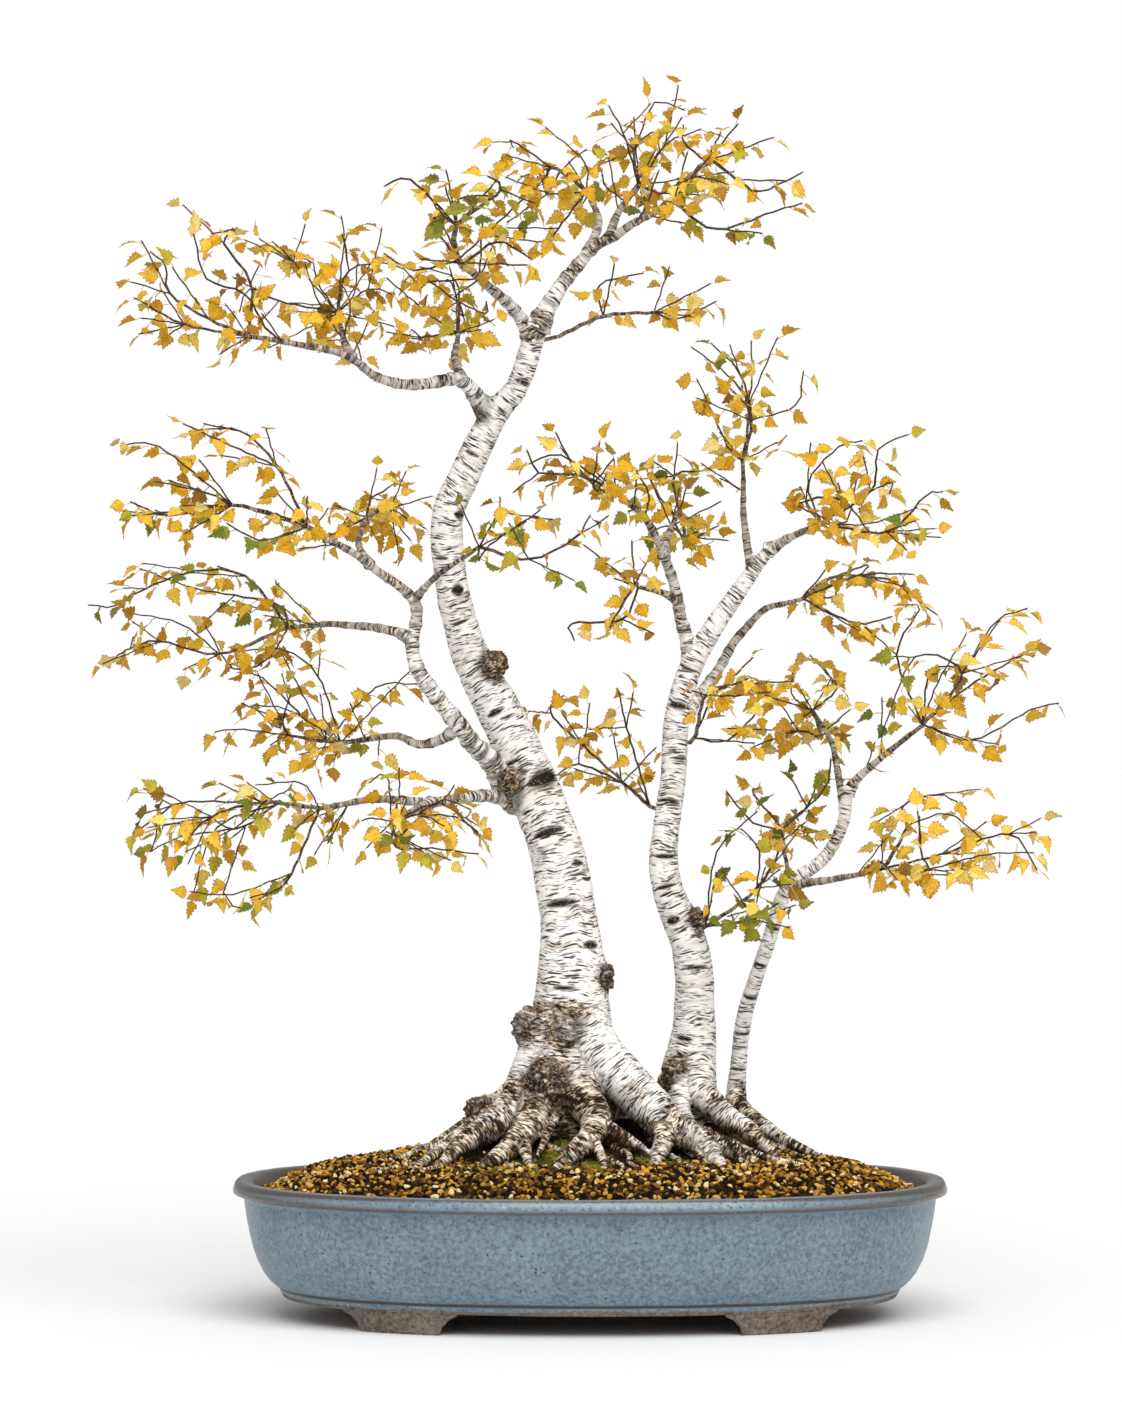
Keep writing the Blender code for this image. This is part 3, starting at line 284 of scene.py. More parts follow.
# The rule of growth, as in the CAD source.
SEED = 0
CROWN_DEPTH = 1.2
SPACE_EXPONENT = 2.6
TARGETS_WITHIN = 0.86
LIMBS_WITHIN = 2.2
LEAVES_WITHIN = 1.12
STEM_LEAD = 9.0
STEM_RADIUS = 2.0
STEM_RISE = 0.6
PATH_WEIGHT = 0.42
SHARPEST_TURN = math.radians(112)
SHORTEST_TWIG = 4.0
CANDIDATES = 14
MOST_TRIES = 40
TWIG_GAP = 2.4
MASS_GAP = 5.0
SAMPLE_STEP = 3.0
LEAF_SPACING = 25.0
LEAF_LEAN = 0.45
END_LEAF_LEAN = 1.3
LEAF_OUTWARD = 0.6
LEAF_WILD = 0.6
LEAF_DROOP = 0.7
LEAF_TRIES = 10
LEAF_APART = 3.2
LEAF_GAP = 1.2
LEAF_LENGTH = 29.0
LEAF_WIDTH = 20.0
LEAF_BULGE = 0.58
LEAF_SUNK = 0.4

# Finer growth: more targets for each of a mass's own, joined by the same rule.
FINE_TARGETS = 3.2
POOL_PER_TARGET = 90
FINE_TRIES = 7
FINE_TURN = math.radians(72)
FINE_SHORTEST = 8.0
FINE_LONGEST = 48.0
TURN_WEIGHT = 1.1
SPRAY_REACH = 30.0
SPRAY_FLATNESS = 1.7
SIDE_TWIG_EVERY = 13.0
BOUGH_TWIGS_WITHIN = 1.25
CLEAR_OF_BOUGH = 3.0
EASING = 0.34
TWIG_TIP = 0.36
TWIG_TAPER = 0.6
ZIGZAG = 0.35
ZIGZAG_EVERY = 8.0
BLADE_EVERY = 14.5
TRIES_AT_END = 5
CROWN_HALF = 350.0
BLADE_CLEAR = 4.0
YOUNG_WOOD = 1.3

# Where the photo's masses are barer or fuller than the rest.
LEAFINESS = {
    "foliage_top_left_outer": 0.6, "foliage_top_left": 0.95, "foliage_top_back": 0.8,
    "foliage_top_front": 0.75, "foliage_apex_left": 0.7, "foliage_apex": 0.6, "foliage_top_right": 0.52,
    "foliage_right_of_leader": 0.65, "foliage_left_outer": 0.8, "foliage_left_middle": 0.75,
    "foliage_left_inner": 0.6, "foliage_front_right": 0.36, "foliage_left_back": 1.05,
    "foliage_low_left": 1.05, "foliage_low_front": 1.0, "foliage_second_left": 0.55,
    "foliage_second_front": 0.28, "foliage_second_low_left": 0.75, "foliage_second_apex": 0.6,
    "foliage_second_back": 0.7, "foliage_second_top": 0.75, "foliage_second_right": 0.38,
    "foliage_second_low_right": 0.5, "foliage_second_low": 0.7, "foliage_third_right": 0.5,
    "foliage_third_left": 0.7, "foliage_third_low": 0.52, "foliage_third_back": 0.5,
}

# Real sizes of a leaf in millimetres: blade, its greatest width, and stalk.
BLADE = 17.0
BLADE_WIDTH = 15.0
STALK = 8.0
TEETH = 5


# Materials

def linear(hex_colour):
    """An sRGB hex colour as the linear values that Blender's sockets take."""
    parts = [int(hex_colour[start:start + 2], 16) / 255 for start in (0, 2, 4)]
    curve = [part / 12.92 if part <= 0.04045 else ((part + 0.055) / 1.055) ** 2.4 for part in parts]
    return (*curve, 1.0)


def fill(tree, node, values):
    """Sets a node's inputs, each to a value or to a link."""
    for name, value in values.items():
        if isinstance(value, bpy.types.NodeSocket):
            tree.links.new(value, node.inputs[name])
        else:
            node.inputs[name].default_value = value


def add(tree, kind, values=None, **settings):
    """Adds a node: settings are its properties, and values its inputs."""
    node = tree.nodes.new(kind)
    for name, setting in settings.items():
        setattr(node, name, setting)
    fill(tree, node, values or {})
    return node


class Finish:
    """A new material, and short calls that each add one node to it and give its output."""

    def __init__(self, name):
        self.material = bpy.data.materials.new(name)
        self.material.use_nodes = True
        self.tree = self.material.node_tree

    def out(self, output, kind, values=None, **settings):
        return add(self.tree, kind, values, **settings).outputs[output]

    def attribute(self, name, output="Fac"):
        return self.out(output, "ShaderNodeAttribute", attribute_name=name)

    def place(self):
        """Where a point lies on the object, in metres."""
        return self.out("Object", "ShaderNodeTexCoord")

    def cells(self, vector, *scale):
        """A vector scaled by a factor for each axis."""
        return self.out(0, "ShaderNodeMapping", {"Vector": vector, "Scale": scale}, vector_type="POINT")

    def cloud(self, vector, scale=1.0, detail=2.0, roughness=0.5, distortion=0.0, output="Fac"):
        """Soft noise of a scale."""
        values = {"Vector": vector, "Scale": scale, "Detail": detail, "Roughness": roughness}
        return self.out(output, "ShaderNodeTexNoise", {**values, "Distortion": distortion})

    def dots(self, vector, scale=1.0):
        """How far the nearest of some randomly strewn dots is."""
        values = {"Vector": vector, "Scale": scale, "Randomness": 1.0}
        return self.out("Distance", "ShaderNodeTexVoronoi", values)

    def maths(self, operation, *values):
        return self.out(0, "ShaderNodeMath", dict(enumerate(values)), operation=operation)

    def ease(self, value, low, high, at_low=0.0, at_high=1.0):
        """Goes from at_low to at_high while a value goes from low to high, and is level beyond."""
        values = {"Value": value, "From Min": low, "From Max": high, "To Min": at_low, "To Max": at_high}
        return self.out(0, "ShaderNodeMapRange", values)

    def between(self, share, first, second):
        """A number between two others."""
        return self.out(0, "ShaderNodeMix", {0: share, 2: first, 3: second}, data_type="FLOAT")

    def blend(self, share, first, second, **settings):
        """A colour blended from two others."""
        return self.out(2, "ShaderNodeMix", {0: share, 6: first, 7: second}, data_type="RGBA", **settings)

    def ramp(self, value, *stops, steps=False):
        """A colour from stops of (place, colour), blended or in steps."""
        node = add(self.tree, "ShaderNodeValToRGB", {"Fac": value})
        elements = node.color_ramp.elements
        while len(elements) < len(stops):
            elements.new(1.0)
        for element, (place, colour) in zip(elements, stops):
            element.position = place
            element.color = linear(colour)
        node.color_ramp.interpolation = "CONSTANT" if steps else "LINEAR"
        return node.outputs[0]

    def relief(self, height, strength, depth):
        """Fine relief by a height, at its full strength a depth in millimetres."""
        return self.out(0, "ShaderNodeBump", {"Height": height, "Strength": strength, "Distance": depth * MM})

    def done(self, values):
        """Sets the shader's own inputs, and gives the material."""
        fill(self.tree, self.tree.nodes["Principled BSDF"], values)
        return self.material


def birch_bark():
    """Paper-white birch bark on living wood, browner where it is young, old or near the ground.

    Its outer bark peels in thin sheets round the girth, so marks and ridges run across the limb.
    The attribute straight is each point's place, in millimetres, on its limb laid out straight.
    """
    bark = Finish("white_birch_bark")
    straight = bark.attribute("straight", "Vector")
    girth = bark.attribute("girth")
    weathered = bark.attribute("weathered")
    scar = bark.attribute("scar")
    warp = bark.cloud(straight, 0.05, detail=1.0, output="Color")
    warp = bark.out(0, "ShaderNodeVectorMath", {0: warp, 1: (0.5, 0.5, 0.5)}, operation="SUBTRACT")
    warped = bark.out(0, "ShaderNodeVectorMath", {0: warp, 1: (6.0, 6.0, 9.0), 2: straight},
                      operation="MULTIPLY_ADD")
    # Lenticels: corky dashes about 11 mm long and 1 mm high, with finer ones of 4 mm between.
    dash = bark.ease(bark.dots(bark.cells(warped, 0.058, 0.058, 0.6)), 0.31, 0.40, 1.0, 0.0)
    line = bark.ease(bark.dots(bark.cells(warped, 0.15, 0.15, 1.05)), 0.28, 0.42, 0.9, 0.0)
    broken = bark.cloud(bark.cells(straight, 0.09, 0.09, 0.22), detail=4.0)
    line = bark.maths("MULTIPLY", line, bark.ease(broken, 0.42, 0.56, 0.05, 1.0))
    sparse = bark.maths("MAXIMUM", bark.ease(broken, 0.36, 0.50, 0.15, 1.0), weathered)
    marks = bark.maths("MAXIMUM", bark.maths("MULTIPLY", dash, sparse), line)
    # Faint bands of the paper layers, 3 mm high.
    bands = bark.cloud(bark.cells(warped, 0.03, 0.03, 0.33), detail=5.0, roughness=0.6)
    paper = bark.ramp(bands, (0.27, "8E7A65"), (0.37, "DED4C7"), (0.47, "FAF7F2"), (0.75, "FFFEFC"))
    # Wood less than about 8 mm thick is young and grey-brown, and twigs under 3 mm are dark brown.
    young = bark.ramp(bands, (0.32, "35261A"), (0.42, "6B5743"), (0.53, "A08D79"), (0.68, "D9CDBC"))
    twig = bark.ramp(bands, (0.35, "33231A"), (0.65, "664B32"))
    colour = bark.blend(bark.ease(girth, 0.8, 1.7), twig, young)
    colour = bark.blend(bark.ease(girth, 2.4, 6.0), colour, paper)
    # Old bark near the ground folds 1 to 2 mm high round the limb, grey-brown and dark in patches.
    cracks = bark.cloud(bark.cells(warped, 0.21, 0.21, 0.78), detail=4.0, roughness=0.55)
    stain = bark.maths("MULTIPLY_ADD", bark.cloud(straight, 0.085), 0.65, -0.325)
    old = bark.ramp(bark.maths("ADD", stain, cracks), (0.375, "1A110A"), (0.445, "453320"),
                    (0.495, "806849"), (0.55, "C4B195"), (0.63, "F5ECDD"))
    aged = bark.maths("ADD", bark.maths("MULTIPLY_ADD", cracks, -1.7, 0.85), weathered)
    aged = bark.maths("MAXIMUM", bark.ease(aged, 0.3, 0.62), weathered)
    aged = bark.maths("MULTIPLY", aged, bark.ease(weathered, 0.04, 0.2))
    colour = bark.blend(aged, colour, old)
    shown = bark.maths("MULTIPLY", marks, bark.ease(weathered, 0.2, 0.9, 0.97, 0.6))
    colour = bark.blend(shown, colour, linear("2E1F13"))
    # Wounds and burls are twisted corky wood with pits of about 3 mm.
    swirl = bark.cloud(straight, 0.26, detail=4.0, roughness=0.6, distortion=1.8)
    # A closed wound in white bark is darker than a burl.
    pale = bark.maths("MULTIPLY_ADD", weathered, 0.11, swirl)
    wound = bark.ramp(pale, (0.50, "120B06"), (0.59, "3C2B1A"), (0.66, "7E6749"), (0.74, "DECCB0"))
    colour = bark.blend(scar, colour, wound)
    # Painted shade: the undersides of roots near the ground are darkened brown, standing in for the shade
    # under them.
    damp = bark.maths("MULTIPLY", bark.attribute("damp"), 0.6)
    colour = bark.blend(damp, colour, linear("3A2A19"))
    height = bark.between(weathered, bark.maths("MULTIPLY_ADD", marks, -0.5, bands), cracks)
    height = bark.between(scar, height, swirl)
    return bark.done({
        "Base Color": colour, "Roughness": bark.ease(weathered, 0.0, 1.0, 0.58, 0.9),
        "Specular IOR Level": 0.25, "Normal": bark.relief(height, 0.9, 0.9)})


LEAF_TINTS = {
    "gold": "F2C03A", "pale_gold": "F8D664", "deep_gold": "E4AC20", "ochre": "CE9826",
    "straw": "EBCC76", "brown": "A4782A", "yellow_green": "C0B030", "olive": "969430",
    "green": "74842A",
}
VEIN_PAIRS = 6.5


def leaf_blade(tint, colour):
    """A thin autumn birch leaf, dull on its face, with raised veins that slant from the midrib."""
    leaf = Finish("birch_leaf_" + tint)
    sheet = leaf.out(0, "ShaderNodeUVMap", uv_map="leaf")
    sides = add(leaf.tree, "ShaderNodeSeparateXYZ", {"Vector": sheet}).outputs
    across = leaf.maths("ABSOLUTE", leaf.maths("SUBTRACT", sides["X"], 0.5))
    # The margin dries brown first, unevenly, and small spots of 1 to 2 mm follow.
    body = leaf.place()
    patch = leaf.cloud(body, 210.0, detail=3.0)
    margin = leaf.ease(leaf.maths("MULTIPLY_ADD", patch, 0.34, across), 0.55, 0.66, 0.0, 0.85)
    tip = leaf.ease(sides["Y"], 0.86, 1.0, 0.0, 0.6)
    spots = leaf.ease(leaf.cloud(body, 620.0), 0.62, 0.70, 0.0, 0.55)
    dry = leaf.maths("MAXIMUM", leaf.maths("MAXIMUM", margin, tip), spots)
    shade = leaf.ease(patch, 0.3, 0.7, 0.8, 1.1)
    face = leaf.blend(1.0, linear(colour), shade, blend_type="MULTIPLY")
    face = leaf.blend(dry, face, linear("7A5417"))
    slant = leaf.maths("MULTIPLY_ADD", across, -0.55, sides["Y"])
    veins = leaf.maths("SINE", leaf.maths("MULTIPLY", slant, math.tau * VEIN_PAIRS))
    rib = leaf.ease(across, 0.0, 0.05, 2.0, 0.0)
    height = leaf.maths("MULTIPLY_ADD", veins, 0.5, rib)
    return leaf.done({
        "Base Color": face, "Roughness": 0.6, "Specular IOR Level": 0.2,
        "Normal": leaf.relief(height, 0.5, 0.35)})


def glazed_stoneware():
    """Stoneware under a thick satin glaze, mottled blue-grey with fine pits, thin and brown on edges.

    The feet and the foot band are left bare. The attribute worn is 1 where the glaze ran thin.
    """
    pot = Finish("blue_grey_glazed_stoneware")
    place = pot.place()
    cloud = pot.cloud(place, 26.0, detail=6.0, roughness=0.6)
    fleck = pot.cloud(place, 330.0, detail=3.0, roughness=0.7)
    mottle = pot.between(0.76, cloud, fleck)
    colour = pot.ramp(mottle, (0.34, "4E5C68"), (0.44, "647783"), (0.54, "748894"), (0.68, "8C9DA8"))
    # Pits and iron specks of about 1 mm.
    pit = pot.ease(pot.dots(place, 210.0), 0.12, 0.20, 1.0, 0.0)
    pit = pot.maths("MULTIPLY", pit, pot.ease(cloud, 0.44, 0.62))
    colour = pot.blend(pit, colour, linear("3C3A39"))
    thin = pot.maths("ADD", pot.attribute("worn"), pot.maths("MULTIPLY_ADD", fleck, 1.5, -0.75))
    colour = pot.blend(pot.ease(thin, 0.35, 0.85), colour, linear("4D433C"))
    # The bare foot band ends in a wavy line where the glaze stopped.
    height = pot.out("Z", "ShaderNodeSeparateXYZ", {"Vector": place})
    level = pot.maths("MULTIPLY_ADD", pot.cloud(place, 14.0), 9.0 * MM, 13.2 * MM)
    bare = pot.ease(pot.maths("SUBTRACT", height, level), -0.5 * MM, 0.5 * MM, 1.0, 0.0)
    clay = pot.ramp(mottle, (0.36, "4A4038"), (0.50, "6F645A"), (0.64, "8A8077"))
    colour = pot.blend(bare, colour, clay)
    # The lip is rubbed smooth, so it shines more than the wall.
    lip = pot.ease(height, 84 * MM, 88 * MM)
    satin = pot.between(lip, 0.34, 0.24)
    grain = pot.maths("MULTIPLY_ADD", pit, -0.6, mottle)
    return pot.done({
        "Base Color": colour, "Roughness": pot.between(bare, satin, 0.85),
        "Specular IOR Level": pot.between(lip, 0.3, 0.75), "Normal": pot.relief(grain, 0.8, 0.8)})


def dark_soil():
    """Damp fine soil and humus, with crumbs of 1 to 2 mm, greener under the moss."""
    soil = Finish("damp_dark_soil")
    crumbs = soil.cloud(soil.place(), 420.0, detail=4.0, roughness=0.7)
    tone = soil.ramp(crumbs, (0.38, "080503"), (0.50, "1C120A"), (0.60, "38260F"), (0.70, "7A5C30"))
    green = soil.ramp(crumbs, (0.38, "34350F"), (0.62, "9A922C"))
    return soil.done({
        "Base Color": soil.blend(soil.attribute("moss"), tone, green), "Roughness": 0.92,
        "Specular IOR Level": 0.1, "Normal": soil.relief(crumbs, 0.9, 1.2)})


def fired_clay_grit():
    """Baked clay and pumice grains, 3 to 5 mm, rough and dry, from tan and gold to dark brown.

    The few that are bright yellow are crumbs of fallen leaves.
    """
    grit = Finish("fired_clay_and_pumice_grit")
    speck = grit.cloud(grit.place(), 900.0, detail=3.0)
    tone = grit.ramp(
        grit.attribute("tint"), (0.0, "1E1409"), (0.22, "583A18"), (0.40, "8C6224"), (0.57, "BC8A34"),
        (0.74, "DCAC55"), (0.89, "F4DBA0"), (0.975, "E4A51C"), steps=True)
    shade = grit.ease(speck, 0.3, 0.7, 0.72, 1.12)
    return grit.done({
        "Base Color": grit.blend(1.0, tone, shade, blend_type="MULTIPLY"), "Roughness": 0.88,
        "Specular IOR Level": 0.1, "Normal": grit.relief(speck, 0.6, 0.4)})


def cushion_moss():
    """Low moss, soft and matt, yellow-green at its tips."""
    moss = Finish("cushion_moss")
    patch = moss.cloud(moss.place(), 240.0, detail=3.0)
    tone = moss.ramp(patch, (0.38, "3A4012"), (0.52, "687020"), (0.66, "9A9C3A"))
    return moss.done({"Base Color": tone, "Roughness": 0.95, "Sheen Weight": 0.3})


def studio_paper():
    """The plain white paper that the plant stands on, with a very faint tooth."""
    paper = Finish("white_studio_paper")
    tooth = paper.cloud(paper.place(), 900.0)
    return paper.done({
        "Base Color": linear("FDFDFD"), "Roughness": 0.85, "Normal": paper.relief(tooth, 0.05, 0.1)})


# Paths of limbs

def vector(values):
    """The place that starts a station."""
    return Vector(values[:3])


def smooth_path(stations, spacing):
    """Points and radii along a Catmull-Rom curve through stations (x, y, z, radius)."""
    rows = [tuple(2 * b - c for b, c in zip(stations[0], stations[1]))] + list(stations)
    rows.append(tuple(2 * b - c for b, c in zip(stations[-1], stations[-2])))
    path = []
    for before, start, end, after in zip(rows, rows[1:], rows[2:], rows[3:]):
        length = (vector(end) - vector(start)).length
        count = max(1, round(length / spacing))
        for step in range(count):
            t = step / count
            row = [0.5 * (2 * b + (c - a) * t + (2 * a - 5 * b + 4 * c - d) * t ** 2
                          + (3 * b - a - 3 * c + d) * t ** 3)
                   for a, b, c, d in zip(before, start, end, after)]
            path.append((vector(row), row[3]))
    path.append((vector(stations[-1]), stations[-1][3]))
    return path


def bough_stations(name):
    """A bough's route with a radius that tapers evenly from foot to tip."""
    _, foot, tip, route = BOUGHS[name]
    last = len(route) - 1
    return [(*point, foot + (tip - foot) * index / last) for index, point in enumerate(route)]


def bough_path(name):
    """The bough's path as the CAD source has it."""
    parent, _, _, route = BOUGHS[name]
    path = smooth_path(bough_stations(name), BOUGH_STEP)
    if route[0] == tuple(TRUNKS.get(parent, [(0, 0, 0, 0)])[-1][:3]):
        ahead = (path[1][0] - path[0][0]).normalized()
        path[0] = (path[0][0] + ahead * 1.2 * CLEARANCE, path[0][1])
    return path


def gap_between(point, start, end):
    """Distance from a point to a straight run, and how far along the run it is."""
    run = end - start
    share = min(max((point - start).dot(run) / run.length_squared, 0.0), 1.0)
    return (point - (start + run * share)).length, share


class Limbs:
    """The trunks and boughs as runs with radii, to keep twigs and leaves off them."""

    def __init__(self):
        self.paths = {name: smooth_path(stations, TRUNK_STEP) for name, stations in TRUNKS.items()}
        for name in BOUGHS:
            self.paths[name] = bough_path(name)
        runs = [(*start, *end, wide, narrow) for path in self.paths.values()
                for (start, wide), (end, narrow) in zip(path, path[1:])]
        self.runs = np.array(runs)

    def near(self, centre, reach):
        """The runs that come within a reach of a centre."""
        middle = (self.runs[:, 0:3] + self.runs[:, 3:6]) / 2
        half = np.linalg.norm(self.runs[:, 3:6] - self.runs[:, 0:3], axis=1) / 2
        far = np.linalg.norm(middle - np.array(centre), axis=1)
        return self.runs[far < reach + half + self.runs[:, 6]]


def gaps(points, runs):
    """How far each point lies from the nearest of some runs' surfaces."""
    if not len(runs):
        return np.full(len(points), 1e3)
    points = np.asarray(points, float)
    start, way = runs[:, 0:3], runs[:, 3:6] - runs[:, 0:3]
    offset = points[:, None] - start[None]
    share = np.clip((offset * way).sum(2) / (way ** 2).sum(1), 0, 1)
    away = np.linalg.norm(offset - way * share[..., None], axis=2)
    return (away - (runs[:, 6] + (runs[:, 7] - runs[:, 6]) * share)).min(1)


# Growth of a mass: first the CAD source's own twigs, then finer ones on them

def deepened(point):
    """A point of the crown, with the crown's depth widened."""
    return Vector((point.x, point.y * CROWN_DEPTH, point.z))


class Twigs:
    """The skeleton of one mass: nodes, each joined to a parent."""

    def __init__(self, name, limbs, taken):
        carrier, centre, half, tips, count = MASSES[name]
        self.name = name
        self.rng = random.Random(f"{name} {SEED}")
        self.taken = taken
        self.centre = deepened(vector(centre))
        self.half = (half[0], half[1] * CROWN_DEPTH, half[2])
        self.runs = limbs.near(self.centre, LIMBS_WITHIN * max(self.half))
        self.tips = [deepened(vector(tip)) for tip in tips]
        self.count = count
        carrier_path = limbs.paths[carrier]
        if name in TRUNK_STEMS:
            start = vector(TRUNK_STEMS[name])
            run = min(zip(carrier_path, carrier_path[1:]),
                      key=lambda pair: gap_between(start, pair[0][0], pair[1][0])[0])
            heading = (self.centre - start).normalized()
            along = (run[1][0] - run[0][0]).normalized()
            across = (heading - along * heading.dot(along)).normalized()
            heading = (across + heading * STEM_RISE).normalized()
            self.lead = run[0][1] + STEM_LEAD
            self.base_radius = STEM_RADIUS
        else:
            tip, self.base_radius = carrier_path[-1]
            heading = (tip - carrier_path[-2][0]).normalized()
            start = tip + heading * CLEARANCE
            self.lead = STEM_LEAD
        self.nodes = [start, start + heading * self.lead]
        self.parents = [None, 0]
        self.ways = [0.0, self.lead]

    def join(self, place, parent, way):
        """Adds a node to a parent, at a way along the twigs from the mass's foot."""
        self.nodes.append(place)
        self.parents.append(parent)
        self.ways.append(way)
        return len(self.nodes) - 1

    def inside(self, point, scale=1.0):
        offsets = [abs(part) / (side * scale) for part, side in zip(point - self.centre, self.half)]
        return sum(offset ** SPACE_EXPONENT for offset in offsets) <= 1.0

    def free(self, points, gap):
        """Whether points are all clear of every limb and of the masses made before."""
        if gaps(points, self.runs).min() < gap:
            return False
        return all(tree.find(point)[2] > MASS_GAP for tree in self.taken for point in points)

    def targets(self):
        """Evenly spread places for leaves: the furthest tips, then the best of some candidates."""
        places = list(self.tips)
        tries = 0
        while len(places) < self.count and tries < MOST_TRIES * self.count:
            best, best_gap = None, -1.0
            for _ in range(CANDIDATES):
                tries += 1
                offset = [self.rng.uniform(-side, side) for side in self.half]
                place = self.centre + Vector(offset)
                if not self.inside(place, TARGETS_WITHIN) or not self.free([place], TWIG_GAP):
                    continue
                gap = min(((place - other).length for other in places + self.nodes), default=1e9)
                if gap > best_gap:
                    best, best_gap = place, gap
            if best:
                places.append(best)
        return places

    def way_clear(self, start, end):
        steps = max(2, int((end - start).length / SAMPLE_STEP))
        return self.free([start.lerp(end, step / steps) for step in range(1, steps + 1)], TWIG_GAP)

    def turn_ok(self, index, place):
        parent = self.parents[index]
        if parent is None:
            return False
        before = self.nodes[index] - self.nodes[parent]
        return before.angle(place - self.nodes[index]) < SHARPEST_TURN

    def grow(self):
        """Joins the targets one by one, each to the node that it is best reached from."""
        waiting = self.targets()
        while waiting:
            options = []
            for place in waiting:
                for index, node in enumerate(self.nodes):
                    reach = (place - node).length
                    if reach > SHORTEST_TWIG and self.turn_ok(index, place):
                        options.append((reach + PATH_WEIGHT * self.ways[index], reach, index, place))
            options.sort(key=lambda option: option[0])
            for _, reach, index, place in options:
                if self.way_clear(self.nodes[index], place):
                    self.join(place, index, self.ways[index] + reach)
                    waiting.remove(place)
                    break
            else:
                break

    def leaf_places(self):
        """Where the CAD source has leaves: along each twig, and one on each twig's end."""
        ends = set(range(2, len(self.nodes))) - set(self.parents)
        for index in range(2, len(self.nodes)):
            start, end = self.nodes[self.parents[index]], self.nodes[index]
            way = end - start
            count = int(way.length / LEAF_SPACING)
            for step in range(count):
                yield start + way * (step + 0.7) / (count + 0.2), way.normalized(), LEAF_LEAN
            if index in ends:
                yield end - way.normalized() * LEAF_SUNK, way.normalized(), END_LEAF_LEAN

    def reserve(self):
        """Marks the room that the CAD source's twigs and leaves take, for the masses after this."""
        near = self.samples()
        for place, twig, lean in self.leaf_places():
            outward = (place - self.centre).normalized()
            for _ in range(LEAF_TRIES):
                wild = wild_way(self.rng).normalized()
                along = twig * lean + outward * LEAF_OUTWARD + wild * LEAF_WILD
                along.z -= self.rng.uniform(0.0, LEAF_DROOP)
                along.normalize()
                face = Vector((0.0, -0.7, 0.7)) + wild.cross(along)
                across = along.cross(face).normalized()
                outline = leaf_outline(place, along, across)
                if not all(self.inside(point, LEAVES_WITHIN) for point in outline):
                    continue
                if not self.free(outline, LEAF_GAP):
                    continue
                if all((point - other).length > LEAF_APART for point in outline for other in near):
                    near += outline
                    break
        tree = KDTree(len(near))
        for index, point in enumerate(near):
            tree.insert(point, index)
        tree.balance()
        self.taken.append(tree)

    def samples(self):
        """Points a few millimetres apart along every twig."""
        points = []
        for index in range(1, len(self.nodes)):
            start, end = self.nodes[self.parents[index]], self.nodes[index]
            steps = max(1, int((end - start).length / SAMPLE_STEP))
            points += [start.lerp(end, step / steps) for step in range(steps + 1)]
        return points

    def ease(self):
        """Draws each node between its neighbours, so that a twig bends gently and not at one place."""
        following = {}
        for index in range(2, len(self.nodes)):
            parent = self.parents[index]
            following.setdefault(parent, []).append(index)
        eased = list(self.nodes)
        for index in range(2, len(self.nodes)):
            if index in following:
                onward = following[index]
                middle = sum((self.nodes[child] for child in onward), Vector()) / len(onward)
                middle = (middle + self.nodes[self.parents[index]]) / 2
                moved = self.nodes[index].lerp(middle, EASING)
                if gaps([moved], self.runs).min() > TWIG_GAP:
                    eased[index] = moved
        self.nodes = eased

    def join_bough(self, path):
        """Lets finer twigs leave the bough itself, along the part that lies in this mass."""
        self.on_bough = {}
        before = None
        for (start, wide), (end, _) in zip(path, path[1:]):
            steps = max(1, round((end - start).length / SIDE_TWIG_EVERY))
            for step in range(steps):
                place = start.lerp(end, step / steps)
                if not self.inside(place, BOUGH_TWIGS_WITHIN):
                    continue
                if before is None:
                    before = self.join(start - (end - start).normalized(), 0, 0.0)
                    self.on_bough[before] = 0.0
                before = self.join(place, before, 2 * STEM_LEAD)
                self.on_bough[before] = wide

    def finer_targets(self, wanted):
        """Evenly spread places for finer twigs, in flat sprays about the twigs that there are."""
        dice = np.random.default_rng([ord(letter) for letter in self.name])
        half = np.array(self.half)
        pool = dice.uniform(-1, 1, (wanted * POOL_PER_TARGET, 3)) * half
        within = (np.abs(pool / half) ** SPACE_EXPONENT).sum(1) <= 1
        pool = pool[within] + np.array(self.centre)
        pool = pool[gaps(pool, self.runs) > 2 * TWIG_GAP]
        coarse = [(*self.nodes[parent], *self.nodes[index], 0.0, 0.0)
                  for index, parent in enumerate(self.parents) if index]
        flat = np.array([1.0, 1.0, SPRAY_FLATNESS])
        beside = np.array(coarse) * np.array([*flat, *flat, 1.0, 1.0])
        pool = pool[gaps(pool * flat, beside) < SPRAY_REACH]
        nodes = np.array([list(node) for node in self.nodes])
        gap = np.linalg.norm(pool[:, None] - nodes[None], axis=2).min(1)
        places = []
        for _ in range(wanted):
            chosen = dice.choice(len(pool), FINE_TRIES)
            best = chosen[gap[chosen].argmax()]
            places.append(pool[best])
            gap = np.minimum(gap, np.linalg.norm(pool - pool[best], axis=1))
        return np.array(places)

